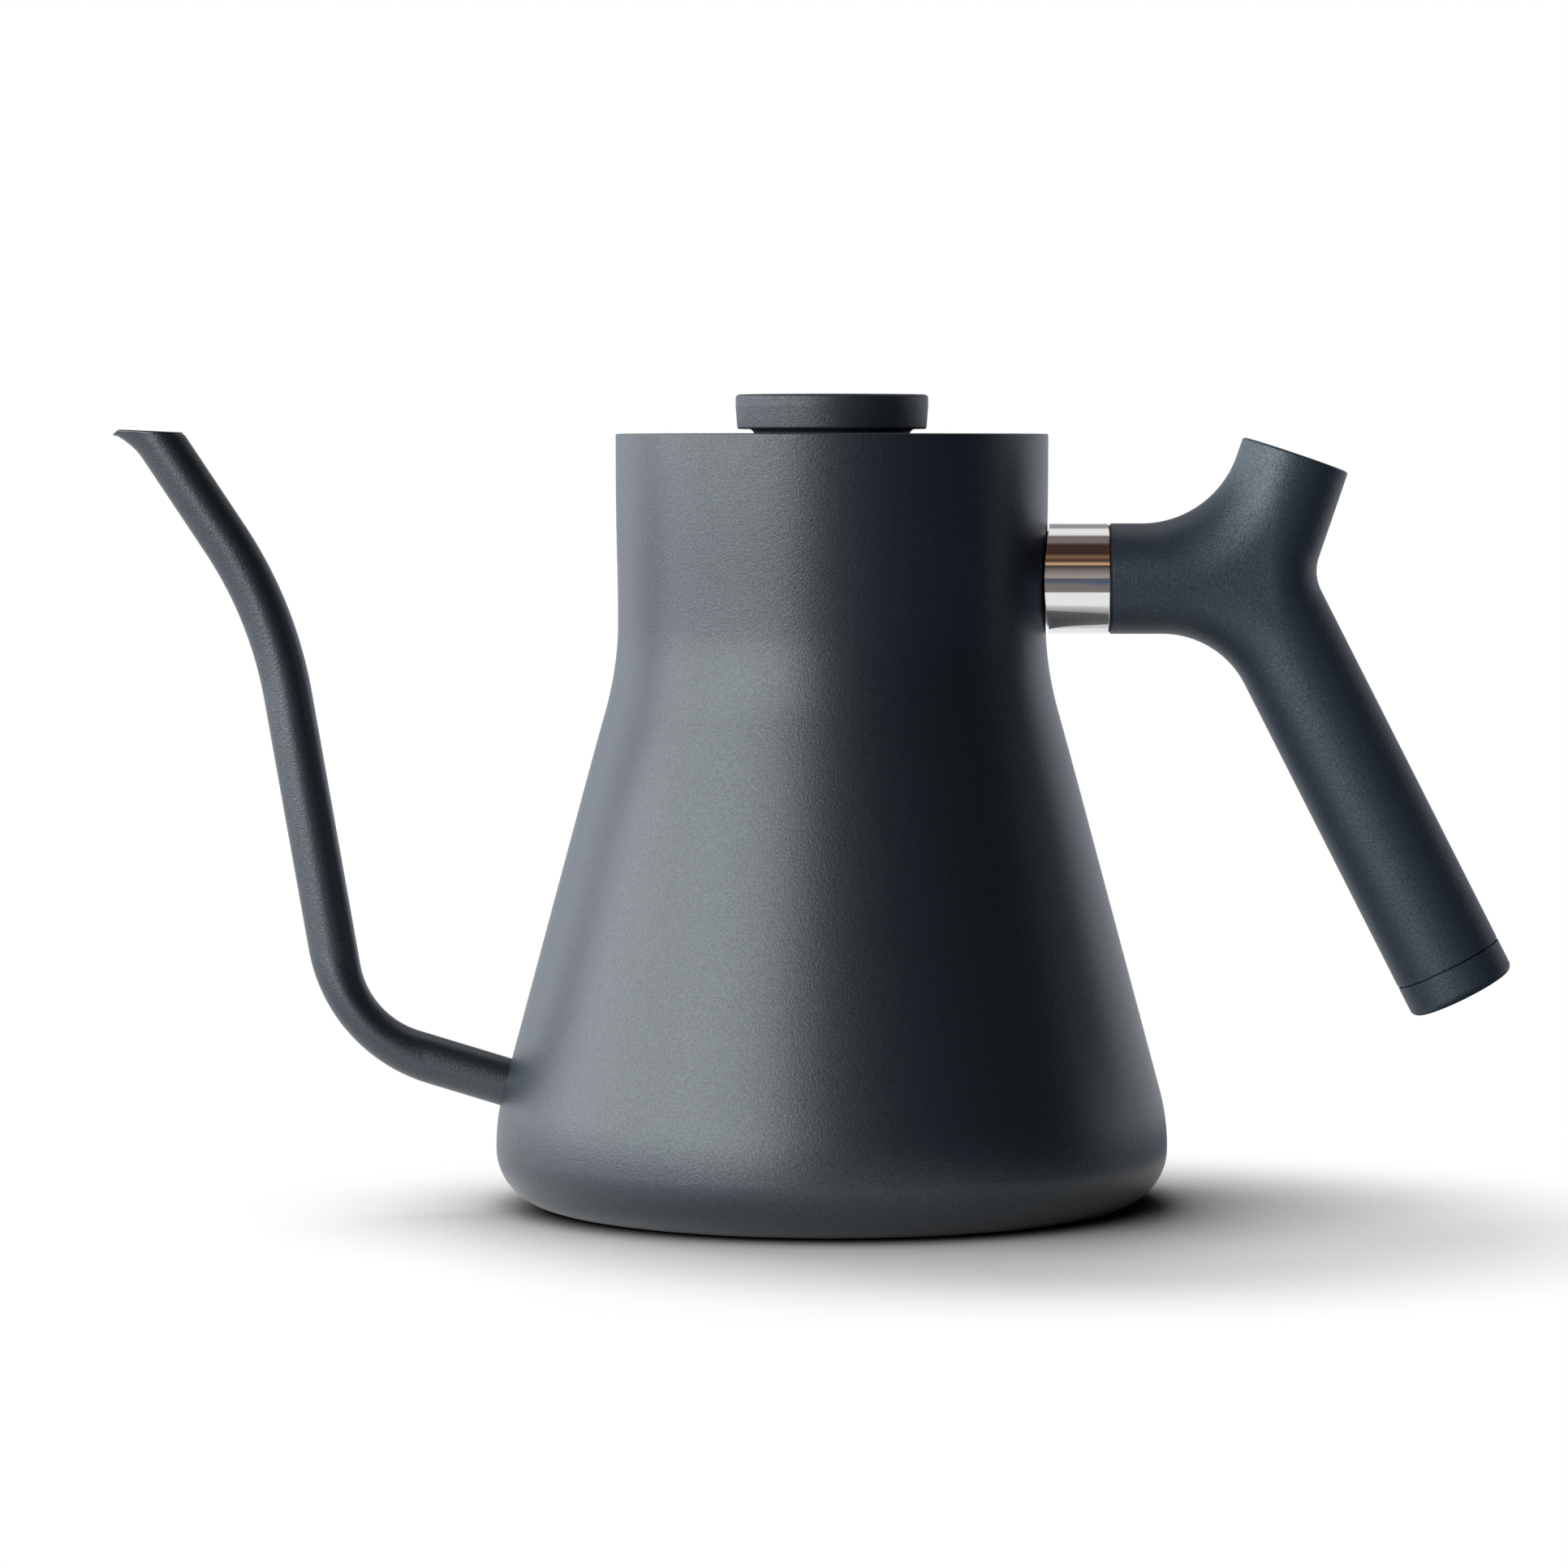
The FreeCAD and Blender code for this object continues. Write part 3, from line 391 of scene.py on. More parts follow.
def printing_ink(name, dark, light):
    """Satin ink of the dial's print, a little uneven."""
    material, shader = new_finish(name, {"Roughness": 0.5})
    mottle(shader, grain(shader, per_metre=2200, detail=3.0), dark, light, low=0.25, high=0.75)
    return material


def turned_brass():
    """Turned brass of the bush."""
    material, shader = new_finish("turned_brass", {"Base Color": (0.72, 0.53, 0.26, 1), "Metallic": 1.0})
    marks = grain(shader, per_metre=500, detail=4.0, stretch=(1, 1, 8))
    vary(shader, "Roughness", marks, low=0.20, high=0.38)
    return material


COAT = powder_coat("powder_coat", dark=(0.010, 0.014, 0.020), light=(0.014, 0.019, 0.027),
                   tint=(0.91, 0.975, 1.0), dull=0.37, shine=1.04)
SPOUT_COAT = powder_coat("spout_coat", dark=(0.006, 0.009, 0.013), light=(0.009, 0.013, 0.018),
                         tint=(0.87, 0.94, 1.0), dull=0.56, shine=1.50)
HANDLE_COAT = soft_touch("handle_coat", dark=(0.021, 0.031, 0.045), light=(0.029, 0.042, 0.060),
                         tint=(0.88, 0.965, 1.0), shine=1.45)
KNOB_COAT = soft_touch("knob_coat", dark=(0.016, 0.021, 0.027), light=(0.022, 0.028, 0.036),
                       tint=(0.91, 0.975, 1.0), shine=1.15)
MIRROR = polished_steel()
STEEL = satin_steel()
SILICONE = dark_silicone()
GLASS = lens_glass()
ENAMEL = dial_enamel()
INK = printing_ink("scale_print", dark=(0.70, 0.69, 0.65), light=(0.82, 0.81, 0.77))
AMBER = printing_ink("brewing_ink", dark=(0.54, 0.21, 0.04), light=(0.66, 0.28, 0.06))
BRASS = turned_brass()

CAD_FINISHES = {
    "lid_cover": COAT,
    "base_plate": STEEL, "lid_seat": STEEL, "lid_skirt": STEEL, "stem_tube": STEEL, "stem_tip": STEEL,
    "handle_bracket": STEEL, "cross_screw": STEEL, "screw_washer": STEEL, "knob_nut": STEEL,
    "counterweight": STEEL, "pointer_shaft": STEEL, "bimetal_coil": STEEL,
    "lid_seal": SILICONE, "lens_gasket": SILICONE, "knob_washer": SILICONE, "arm_washer": SILICONE,
    "counterweight_pad": SILICONE, "cap_ring": SILICONE,
    "dial_plate": ENAMEL, "pointer": INK, "guide_bush": BRASS,
}
for node_name, finish in CAD_FINISHES.items():
    nodes[node_name].data.materials.clear()
    nodes[node_name].data.materials.append(finish)


# Body


def waisted(profile):
    """The neck's profile drawn in by a bell-shaped dip at the waist's height, but not below the shoulder."""
    radius, height = profile.T
    dip = WAIST_DEPTH * np.exp(-((height - WAIST_HEIGHT) / WAIST_REACH) ** 2)
    return np.stack([radius - dip * (height > SHOULDER_HEIGHT - WAIST_REACH * 2), height], -1)


def kettle_body():
    """Shell, neck and rim in one turned skin: coated outside and over the rim, bare steel inside."""
    lean = math.atan2(BASE_RADIUS - NECK_RADIUS, SHOULDER_HEIGHT - HEEL_HEIGHT)
    step = WALL * math.tan(lean / 2)
    bore = NECK_RADIUS - WALL
    lap = RIM - COAT_LAP
    outside = bent_line(
        [(FLANGE_RADIUS, 0), (BASE_RADIUS, 0), (BASE_RADIUS, HEEL_HEIGHT), (NECK_RADIUS, SHOULDER_HEIGHT),
         (NECK_RADIUS, RIM), (bore, RIM), (bore, lap)],
        [0, BASE_CORNER, HEEL_BLEND, SHOULDER_BLEND, RIM_ROUND, RIM_ROUND, 0], run_steps=16, arc_steps=18)
    inside = bent_line(
        [(bore, lap), (bore, SHOULDER_HEIGHT - step), (BASE_RADIUS - WALL, HEEL_HEIGHT - step),
         (BASE_RADIUS - WALL, WALL), (FLANGE_RADIUS, WALL), (FLANGE_RADIUS, 0)],
        [0, SHOULDER_BLEND + WALL, HEEL_BLEND - WALL, BASE_CORNER - WALL, 0, 0], run_steps=16, arc_steps=12)
    make_piece("kettle_body", [patch(turned(waisted(outside))), patch(turned(waisted(inside)), finish=1)],
               [COAT, STEEL], "kettle", ["body_shell", "neck_band"])


# Spout


def meet(point, direction, on_line, line_normal):
    """Where a line through a point meets another line, given by one of its points and its normal."""
    return point + direction * (((on_line - point) @ line_normal) / (direction @ line_normal))


def left_of(direction):
    """The direction a quarter turn to the left, in the side view."""
    return np.array([-direction[1], direction[0]])


def spout_side(offset, elbow_bend, knee_bend):
    """One side of the tube in the side view: its centre line moved sideways, with bends of its own.

    It starts in the body's skin and ends in the plane of the mouth.
    """
    cone = unit(np.array([BASE_RADIUS - NECK_RADIUS, SHOULDER_HEIGHT - HEEL_HEIGHT]))
    skin = np.array([ROOT_BITE - BASE_RADIUS, HEEL_HEIGHT])
    root = meet(np.array([0.0, ROOT_HEIGHT]), np.array([1.0, 0.0]), skin, left_of(cone))
    runs = unit(np.array([ELBOW - root, KNEE - ELBOW, MOUTH - KNEE]))
    low, middle, high = runs
    facing = np.array([math.sin(MOUTH_TILT), math.cos(MOUTH_TILT)])
    on_low, on_middle, on_high = (
        point + left_of(run) * offset for point, run in zip((ELBOW, KNEE, MOUTH), runs))
    start = meet(on_low, low, skin, left_of(cone))
    elbow = meet(on_low, low, on_middle, left_of(middle))
    knee = meet(on_middle, middle, on_high, left_of(high))
    end = meet(on_high, high, MOUTH, facing)
    lip_start = end - high * LIP_DEPTH * 2
    return bent_line([start, elbow, knee, lip_start, end], [0, elbow_bend, knee_bend, 0, 0],
                     run_steps=28, arc_steps=32)


def spout_wall(radius):
    """Grid of one wall of the tube: rings spread between its two sides in the side view.

    A ring is an ellipse whose one axis joins the two sides; where the elbow presses the sides together it
    grows across. Near the mouth the front of a ring is drawn out by a power of its height, and the tip of
    the lip is cut back: its points slide down the tube.
    """
    slack = TUBE_RADIUS - radius
    far = spout_side(radius, ELBOW_OUTSIDE - slack, KNEE_BEND - radius)
    near = spout_side(-radius, ELBOW_INSIDE + slack, KNEE_BEND + radius)
    centre, half = (far + near) / 2, (far - near) / 2
    tangent = unit(np.gradient(centre, axis=0))
    narrow = np.abs(half[:, 0] * tangent[:, 1] - half[:, 1] * tangent[:, 0])
    across = radius * np.sqrt(np.clip(radius / narrow, 1.0, ELBOW_SPREAD))
    angle = np.linspace(0, 2 * math.pi, TUBE_STEPS, endpoint=False)
    grid = in_side_view(centre)[:, None] + in_side_view(half)[:, None] * np.cos(angle)[None, :, None]
    grid = grid + np.array([0, 1.0, 0]) * (across[:, None] * np.sin(angle))[..., None]

    facing = in_side_view([math.sin(MOUTH_TILT), math.cos(MOUTH_TILT)])
    to_lip = in_side_view([-math.cos(MOUTH_TILT), math.sin(MOUTH_TILT)])
    up_tube = in_side_view(unit(MOUTH - KNEE))
    depth = -(grid - in_side_view(MOUTH)) @ facing
    cut = LIP_CUT * np.clip((np.cos(angle) - LIP_CUT_FROM) / (1 - LIP_CUT_FROM), 0, 1)
    nearness = np.clip(1 - depth / LIP_DEPTH, 0, 1)
    slide = cut * nearness
    front = np.clip(np.cos(angle), 0, 1) ** LIP_WIDTH
    flare = LIP_FLARE * nearness ** LIP_CURL * front
    return grid - up_tube * (slide / (up_tube @ facing))[..., None] + to_lip * flare[..., None]


def spout():
    """Bent tube with a wall, bare steel inside; a half circle from wall to wall rounds the mouth."""
    outer, inner = spout_wall(TUBE_RADIUS), spout_wall(TUBE_RADIUS - TUBE_WALL)
    facing = in_side_view([math.sin(MOUTH_TILT), math.cos(MOUTH_TILT)])
    turn = np.linspace(0, math.pi, LIP_STEPS + 1)[:, None, None]
    middle, spread = (outer[-1] + inner[-1]) / 2, (outer[-1] - inner[-1]) / 2
    rim = middle + spread * np.cos(turn) + facing * (TUBE_WALL / 2 * np.sin(turn)) - facing * TUBE_WALL / 2
    outside = np.concatenate([outer[:-LIP_RINGS], rim])
    inside = np.concatenate([rim[-1:], inner[-LIP_RINGS - 1::-1], outer[:1]])
    make_piece("spout", [patch(outside), patch(inside, finish=1)], [SPOUT_COAT, STEEL], "kettle",
               ["spout_tube"])


# Handle


def fork_side(first, first_length, second, second_length, fillet):
    """Half of the fork between two limbs, from the front ridge over their sides to the back ridge.

    Two lines run from the end of one limb to the end of the other: the ridge along the axes, with its corner
    cut by the flat field, and the side at a limb's radius, with its fillet. A section is a half ellipse from
    the front ridge over the side to the back ridge.
    """
    inner_angle = math.acos(first @ second)
    toward = (first + second) / math.sin(inner_angle)
    sign = np.sign(left_of(first) @ second)
    first_side = left_of(first) * sign * LIMB_RADIUS
    second_side = -left_of(second) * sign * LIMB_RADIUS
    first_end = MEETING + first * first_length
    second_end = MEETING + second * second_length
    ridge = bent_line([first_end, MEETING, second_end], [0, FORK_FLAT * math.tan(inner_angle / 2), 0],
                      run_steps=FORK_STEPS, arc_steps=FORK_STEPS)
    side = bent_line([first_end + first_side, MEETING + toward * LIMB_RADIUS, second_end + second_side],
                     [0, fillet, 0], run_steps=FORK_STEPS, arc_steps=FORK_STEPS)
    sweep = np.linspace(0, math.pi, HALF_STEPS + 1)[None, :, None]
    section = in_side_view(ridge)[:, None] + in_side_view(side - ridge)[:, None] * np.sin(sweep)
    section = section - np.array([0, LIMB_RADIUS, 0]) * np.cos(sweep)
    bend = (len(ridge) - FORK_STEPS) // 2
    return section, ridge[bend:bend + FORK_STEPS + 1]


def limb_end(direction, length, edge):
    """Closed end of a limb: its rim rounded by a quarter circle, its face flat."""
    profile = bent_line([(LIMB_RADIUS, length - edge), (LIMB_RADIUS, length), (0, length)],
                        [0, edge * EDGE_SHARE, 0], run_steps=2, arc_steps=8)
    return patch(turned(profile, MEETING, direction, 2 * HALF_STEPS))


def handle():
    """Arm, thumb stub and grip in one moulding: three forks, a flat field on both sides and three ends."""
    arm = MEETING[0] - ARM_START - JOINT_EDGE
    stub = STUB_LENGTH - STUB_EDGE
    grip = GRIP_LENGTH - JOINT_EDGE
    forks = [
        fork_side(TO_NECK, arm, ALONG_STUB, stub, ARM_STUB_FILLET),
        fork_side(ALONG_STUB, stub, ALONG_GRIP, grip, STUB_GRIP_FILLET),
        fork_side(ALONG_GRIP, grip, TO_NECK, arm, GRIP_ARM_FILLET),
    ]
    field = in_side_view(np.concatenate([ridge[:-1] for _, ridge in forks]))
    across = np.array([0, LIMB_RADIUS, 0])
    patches = [patch(side, around=False) for side, _ in forks]
    patches += [plate(field - across), plate(field + across)]
    patches.append(limb_end(TO_NECK, arm + JOINT_EDGE, JOINT_EDGE))
    patches.append(limb_end(ALONG_STUB, STUB_LENGTH, STUB_EDGE))
    patches.append(limb_end(ALONG_GRIP, GRIP_LENGTH, JOINT_EDGE))
    make_piece("handle", patches, [HANDLE_COAT], "kettle", ["handle_grip"])


def end_cap():
    """Cap of the grip, a profile turned about the grip's axis: a groove, a rounded rim and a flat end."""
    groove = LIMB_RADIUS - CAP_SEAM_DEPTH
    start = GRIP_LENGTH
    seam = GRIP_LENGTH + CAP_SEAM
    end = GRIP_LENGTH + CAP_LENGTH
    profile = bent_line(
        [(0, start), (groove, start), (groove, seam), (LIMB_RADIUS, seam), (LIMB_RADIUS, end), (0, end)],
        [0, 0, 0, JOINT_EDGE / 2, CAP_EDGE, 0], run_steps=6, arc_steps=10)
    make_piece("grip_end_cap", [patch(turned(profile, MEETING, ALONG_GRIP))], [HANDLE_COAT], "kettle",
               ["end_cap"])


def collar():
    """Polished sleeve turned about the arm's axis, its one end on the neck.

    There x is that of the neck's circle at each y, and the sleeve is drawn out from it to its other end.
    """
    bore = LIMB_RADIUS - COLLAR_WALL
    profile = bent_line([(LIMB_RADIUS, 0), (LIMB_RADIUS, COLLAR_END), (bore, COLLAR_END), (bore, 0)],
                        [0, COLLAR_EDGE, COLLAR_EDGE, 0], run_steps=12, arc_steps=6)
    grid = turned(profile, (0, MEETING[1]), (1, 0))
    saddle = np.sqrt((NECK_RADIUS + COLLAR_GAP) ** 2 - grid[..., 1] ** 2)
    along = grid[..., 0] / COLLAR_END
    grid[..., 0] = saddle + (COLLAR_END - saddle) * along
    make_piece("polished_collar", [patch(grid, ring=True)], [MIRROR], "kettle",
               ["handle_collar"])


# Lid knob with its dial

KNOB_GAP = 0.0014           # height of the undercut between lid and knob
KNOB_NECK = 0.0162          # radius inside the undercut
KNOB_DRAFT = 0.00035        # how far the side is drawn in at its foot
KNOB_STRAIGHT = 0.0024      # from the top down to where the side begins to draw in
KNOB_STUD = 0.005           # radius of the stud through the lid
KNOB_HOLE = 0.00205         # radius of the hole in it, for the stem
KNOB_FIT = 0.0001           # clearance round the dial and the lens
STUD_EDGE = 0.0006
UNDERCUT_ROUND = 0.0013
FOOT_EDGE = 0.0005
SIDE_BLEND = 0.007
TOP_EDGE = 0.0008
BEZEL_EDGE = 0.0002
LENS_EDGE = 0.0003


def knob():
    """Low knob on an undercut neck, a profile turned about its axis.

    Its side is drawn in towards the lid. It is hollow for the dial, with a ledge for the lens.
    """
    under = LID_TOP + KNOB_GAP
    chamber = DIAL_RADIUS + KNOB_FIT
    bezel = LENS_RADIUS + KNOB_FIT
    corners = [
        ((KNOB_HOLE, KNOB_LOW), 0),
        ((KNOB_STUD, KNOB_LOW), STUD_EDGE),
        ((KNOB_STUD, LID_TOP), 0),
        ((KNOB_NECK, LID_TOP), 0),
        ((KNOB_NECK, under), UNDERCUT_ROUND),
        ((KNOB_RADIUS - KNOB_DRAFT, under), FOOT_EDGE),
        ((KNOB_RADIUS, KNOB_TOP - KNOB_STRAIGHT), SIDE_BLEND),
        ((KNOB_RADIUS, KNOB_TOP), TOP_EDGE),
        ((bezel, KNOB_TOP), BEZEL_EDGE),
        ((bezel, LENS_LEDGE), 0),
        ((chamber, LENS_LEDGE), 0),
        ((chamber, DIAL_LOW), 0),
        ((KNOB_HOLE, DIAL_LOW), 0),
    ]
    points, radii = zip(*corners)
    profile = bent_line(points, radii, run_steps=4, arc_steps=10, closed=True)
    make_piece("lid_knob", [patch(turned(profile), ring=True)], [KNOB_COAT], "lid",
               ["knob_housing"])


def dial_lens():
    """Glass disc, a profile turned about its axis; it casts no shadow, so that the dial below is lit."""
    profile = bent_line([(0, LENS_LOW), (LENS_RADIUS, LENS_LOW), (LENS_RADIUS, LENS_HIGH), (0, LENS_HIGH)],
                        [0, LENS_EDGE, LENS_EDGE, 0], run_steps=8, arc_steps=6)
    glass = make_piece("dial_lens", [patch(turned(profile))], [GLASS], "lid", ["lens"])
    glass.visible_shadow = False


SCALE_START = math.radians(-45)     # pointer at rest, seen from above
SCALE_SWEEP = math.radians(270)     # clockwise
COLDEST, HOTTEST = 20, 110
BREW_FROM, BREW_TO = 88, 96
MARK_EVERY = 2
LONG_MARK_EVERY = 10
NUMBER_EVERY = 20
PRINT_HEIGHT = 0.00004
MARK_INSET = 0.0006                 # from the dial's edge
MARK_LENGTH = 0.0011
MARK_WIDTH = 0.00016
LONG_MARK_LENGTH = 0.0022
LONG_MARK_WIDTH = 0.0003
BAND_INSET = 0.0032
BAND_WIDTH = 0.0009
BAND_STEPS = 39
NUMBER_INSET = 0.0057
NUMBER_SIZE = 0.0034


def scale_angle(degrees):
    """Direction of a temperature on the dial: the sweep shared out evenly, clockwise from the start."""
    return SCALE_START - SCALE_SWEEP * (np.asarray(degrees, float) - COLDEST) / (HOTTEST - COLDEST)


def printed_bars(degrees, inner, outer, width):
    """Flat bars on the dial, one along the direction of each temperature.

    The four corners of a bar are its reach along that direction and half its width across. Its points lie
    once at the height of the print and once on the dial.
    """
    angle = scale_angle(degrees)[:, None]
    along = np.stack([np.cos(angle), np.sin(angle)], -1)
    across = np.stack([-np.sin(angle), np.cos(angle)], -1)
    reach = np.array([inner, outer, outer, inner])[None, :, None]
    offset = np.array([-width, -width, width, width])[None, :, None] / 2
    flat = along * reach + across * offset
    height = np.full(flat.shape[:2] + (1,), DIAL_TOP + PRINT_HEIGHT)
    top = np.concatenate([flat, height], -1).reshape(-1, 3)
    low = top - np.array([0, 0, PRINT_HEIGHT])
    box = np.array([(0, 1, 2, 3), (7, 6, 5, 4), (0, 4, 5, 1), (1, 5, 6, 2), (2, 6, 7, 3), (3, 7, 4, 0)])
    first = np.arange(len(flat))[:, None, None] * 4
    faces = np.where(box < 4, box + first, box - 4 + first + len(top)).reshape(-1, 4)
    return np.concatenate([top, low]), faces.tolist(), 0


def dial_marks(name, every, length, width):
    """Marks of the scale, one every few degrees, from the edge of the dial inwards."""
    degrees = np.arange(COLDEST, HOTTEST + 1, every)
    rim = DIAL_RADIUS - MARK_INSET
    make_piece(name, [printed_bars(degrees, rim - length, rim, width)], [INK], "lid")


def brewing_band():
    """Amber band on the dial for brewing: a thin closed strip, its four edges bent round the scale."""
    angle = scale_angle(np.linspace(BREW_FROM, BREW_TO, BAND_STEPS + 1))[None, :]
    outer = DIAL_RADIUS - BAND_INSET
    inner = outer - BAND_WIDTH
    radius = np.array([inner, outer, outer, inner])[:, None]
    height = DIAL_TOP + PRINT_HEIGHT * np.array([1, 1, 0, 0])[:, None]
    grid = np.stack(np.broadcast_arrays(radius * np.cos(angle), radius * np.sin(angle), height), -1)
    ends = [plate(grid[:, 0]), plate(grid[:, -1])]
    make_piece("brewing_band", [patch(grid, around=False, ring=True)] + ends, [AMBER], "lid")


def dial_number(degrees):
    """A plain number on the dial: letters turned a quarter, upright as read from the handle's side."""
    curve = bpy.data.curves.new("number", "FONT")
    curve.body = str(degrees)
    curve.size = NUMBER_SIZE
    curve.align_x = "CENTER"
    curve.align_y = "CENTER"
    curve.extrude = PRINT_HEIGHT / 2
    letters = bpy.data.objects.new("number", curve)
    mesh = bpy.data.meshes.new_from_object(letters)
    bpy.data.objects.remove(letters)
    points = np.zeros(len(mesh.vertices) * 3, np.float32)
    mesh.vertices.foreach_get("co", points)
    right, up, out = points.reshape(-1, 3).astype(float).T
    angle = float(scale_angle(degrees))
    reach = DIAL_RADIUS - NUMBER_INSET
    x = reach * math.cos(angle) - up
    y = reach * math.sin(angle) + right
    placed = np.stack([x, y, DIAL_TOP + PRINT_HEIGHT / 2 + out], -1)
    mesh.vertices.foreach_set("co", placed.astype(np.float32).ravel())
    close_up(mesh)
    mesh.name = f"dial_number_{degrees}"
    mesh.materials.append(INK)
    piece = bpy.data.objects.new(mesh.name, mesh)
    bpy.context.scene.collection.objects.link(piece)
    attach(piece, "lid")


kettle_body()
spout()
handle()
end_cap()
collar()
knob()
dial_lens()
dial_marks("dial_marks", MARK_EVERY, MARK_LENGTH, MARK_WIDTH)
dial_marks("dial_long_marks", LONG_MARK_EVERY, LONG_MARK_LENGTH, LONG_MARK_WIDTH)
brewing_band()
for temperature in range(COLDEST, HOTTEST, NUMBER_EVERY):
    dial_number(temperature)


# Stage: floor, light and camera

WHITE = (1, 1, 1, 1)


def combine(tree, operation, first, second):
    """Two values put through one calculation."""
    return add_node(tree, "ShaderNodeMath", {0: first, 1: second}, operation=operation).outputs[0]


def light_path(tree, *kinds):
    """How far a ray is one of the named kinds: the largest of the light path's outputs."""
    path = add_node(tree, "ShaderNodeLightPath")
    share = path.outputs[kinds[0]]
    for kind in kinds[1:]:
        share = combine(tree, "MAXIMUM", share, path.outputs[kind])
    return share


def in_sight(tree):
    """Whether a ray shows the stage, to the camera, in a mirror or through glass, or only lights with it."""
    return light_path(tree, "Is Camera Ray", "Is Glossy Ray", "Is Transmission Ray")


def ease(tree, value, start, end, low=0.0, high=1.0):
    """Passes smoothly from low to high as a value goes from start to end."""
    limits = {"Value": value, "From Min": start, "From Max": end, "To Min": low, "To Max": high}
    eased = add_node(tree, "ShaderNodeMapRange", limits, interpolation_type="SMOOTHSTEP")
    return eased.outputs["Result"]


def blend(tree, share, first, second, kind="RGBA"):
    """The first colour or value mixed with a share of the second."""
    parts = {"Factor": share, "A": first, "B": second}
    return add_node(tree, "ShaderNodeMix", parts, data_type=kind).outputs["Result"]


FLOOR_REACH = 6.0
FLOOR_STEPS = 24
FLOOR_PALE = (0.94, 0.9353, 0.9306, 1)
FLOOR_GIVES_BACK = (0.10, 0.10, 0.10, 1)    # its colour in the light that it throws on the kettle
CONTACT_REACH = 0.09                        # how far the painted contact shadow darkens the floor round the kettle's foot
CONTACT_DEPTH = 1.6                         # higher deepens that painted shade
CONTACT_SAMPLES = 8

# Where the floor passes into plain white, as the camera sees it: distances from the middle of the shaded
# field, which a shift puts to the right of the kettle and before it
WHITE_FROM, WHITE_TO = 0.085, 0.175
SHADE_SHIFT = (-0.022, 0.055, 0)
SHADE_STRETCH = (1.0, 1.25, 1.0)

# The floor as coat and steel mirror it: white from a short way off, dim towards the room, with a painted
# shadow on the right
MIRRORED_FROM, MIRRORED_TO = 0.085, 0.108
MIRRORED_SHIFT = (-0.02, 0, 0)
MIRRORED_WHITE = (0.94, 0.97, 1.0, 1)
MIRRORED_FRONT = (0.22, 0.20, 0.19, 1)
# painted shadow: the dark bluish tone of the floor's right side, as coat and steel mirror it
PAINTED_RIGHT_SHADOW = (0.09, 0.12, 0.19, 1)
FRONT_FROM, FRONT_TO = -0.24, -0.27
RIGHT_FROM, RIGHT_TO = 0.072, 0.12
BACK_FROM, BACK_TO = 0.10, 0.30             # the painted shadow on the right ends behind the kettle


def from_middle(tree, place, shift, stretch=(1, 1, 1)):
    """Distance on the floor from a middle: the length of the place once it is stretched and shifted."""
    field = add_node(tree, "ShaderNodeMapping", {"Vector": place, "Location": shift, "Scale": stretch})
    length = add_node(tree, "ShaderNodeVectorMath", {0: field.outputs["Vector"]}, operation="LENGTH")
    return length.outputs["Value"]


def shaded_floor(tree):
    """Matte floor with its shadows, and for the camera a painted contact shadow round the kettle's foot."""
    colour = blend(tree, in_sight(tree), FLOOR_GIVES_BACK, FLOOR_PALE)
    reach = {"Color": colour, "Distance": CONTACT_REACH}
    # painted shadow: ambient occlusion darkens the floor's colour round the foot, seen by the camera only
    contact = add_node(tree, "ShaderNodeAmbientOcclusion", reach, samples=CONTACT_SAMPLES)
    depth = {"Color": contact.outputs["Color"], "Gamma": CONTACT_DEPTH}
    painted_contact_shadow = add_node(tree, "ShaderNodeGamma", depth).outputs["Color"]
    shown = blend(tree, light_path(tree, "Is Camera Ray"), colour, painted_contact_shadow)
    return add_node(tree, "ShaderNodeBsdfDiffuse", {"Color": shown}).outputs[0]


def white_floor(tree, place):
    """Floor that glows plain white; where it is mirrored, dim grey in front and a painted shadow on the
    right.
    """
    spot = add_node(tree, "ShaderNodeSeparateXYZ", {"Vector": place})
    mirrored = light_path(tree, "Is Glossy Ray")
    front = ease(tree, spot.outputs["Y"], FRONT_FROM, FRONT_TO)
    right = ease(tree, spot.outputs["X"], RIGHT_FROM, RIGHT_TO)
    ahead = ease(tree, spot.outputs["Y"], BACK_FROM, BACK_TO, low=1.0, high=0.0)
    shadow_share = combine(tree, "MULTIPLY", right, ahead)
    tone = blend(tree, mirrored, WHITE, MIRRORED_WHITE)
    tone = blend(tree, combine(tree, "MULTIPLY", front, mirrored), tone, MIRRORED_FRONT)
    # painted shadow on the floor's right, seen only in reflections
    tone = blend(tree, combine(tree, "MULTIPLY", shadow_share, mirrored), tone, PAINTED_RIGHT_SHADOW)
    return add_node(tree, "ShaderNodeEmission", {"Color": tone}).outputs[0]


def whiteness(tree, place):
    """Share of plain white on the floor, by the distance from the middle of the shaded or mirrored field."""
    seen = ease(tree, from_middle(tree, place, SHADE_SHIFT, SHADE_STRETCH), WHITE_FROM, WHITE_TO)
    mirrored = ease(tree, from_middle(tree, place, MIRRORED_SHIFT), MIRRORED_FROM, MIRRORED_TO)
    share = blend(tree, light_path(tree, "Is Camera Ray"), mirrored, seen, kind="FLOAT")
    return combine(tree, "MULTIPLY", share, in_sight(tree))


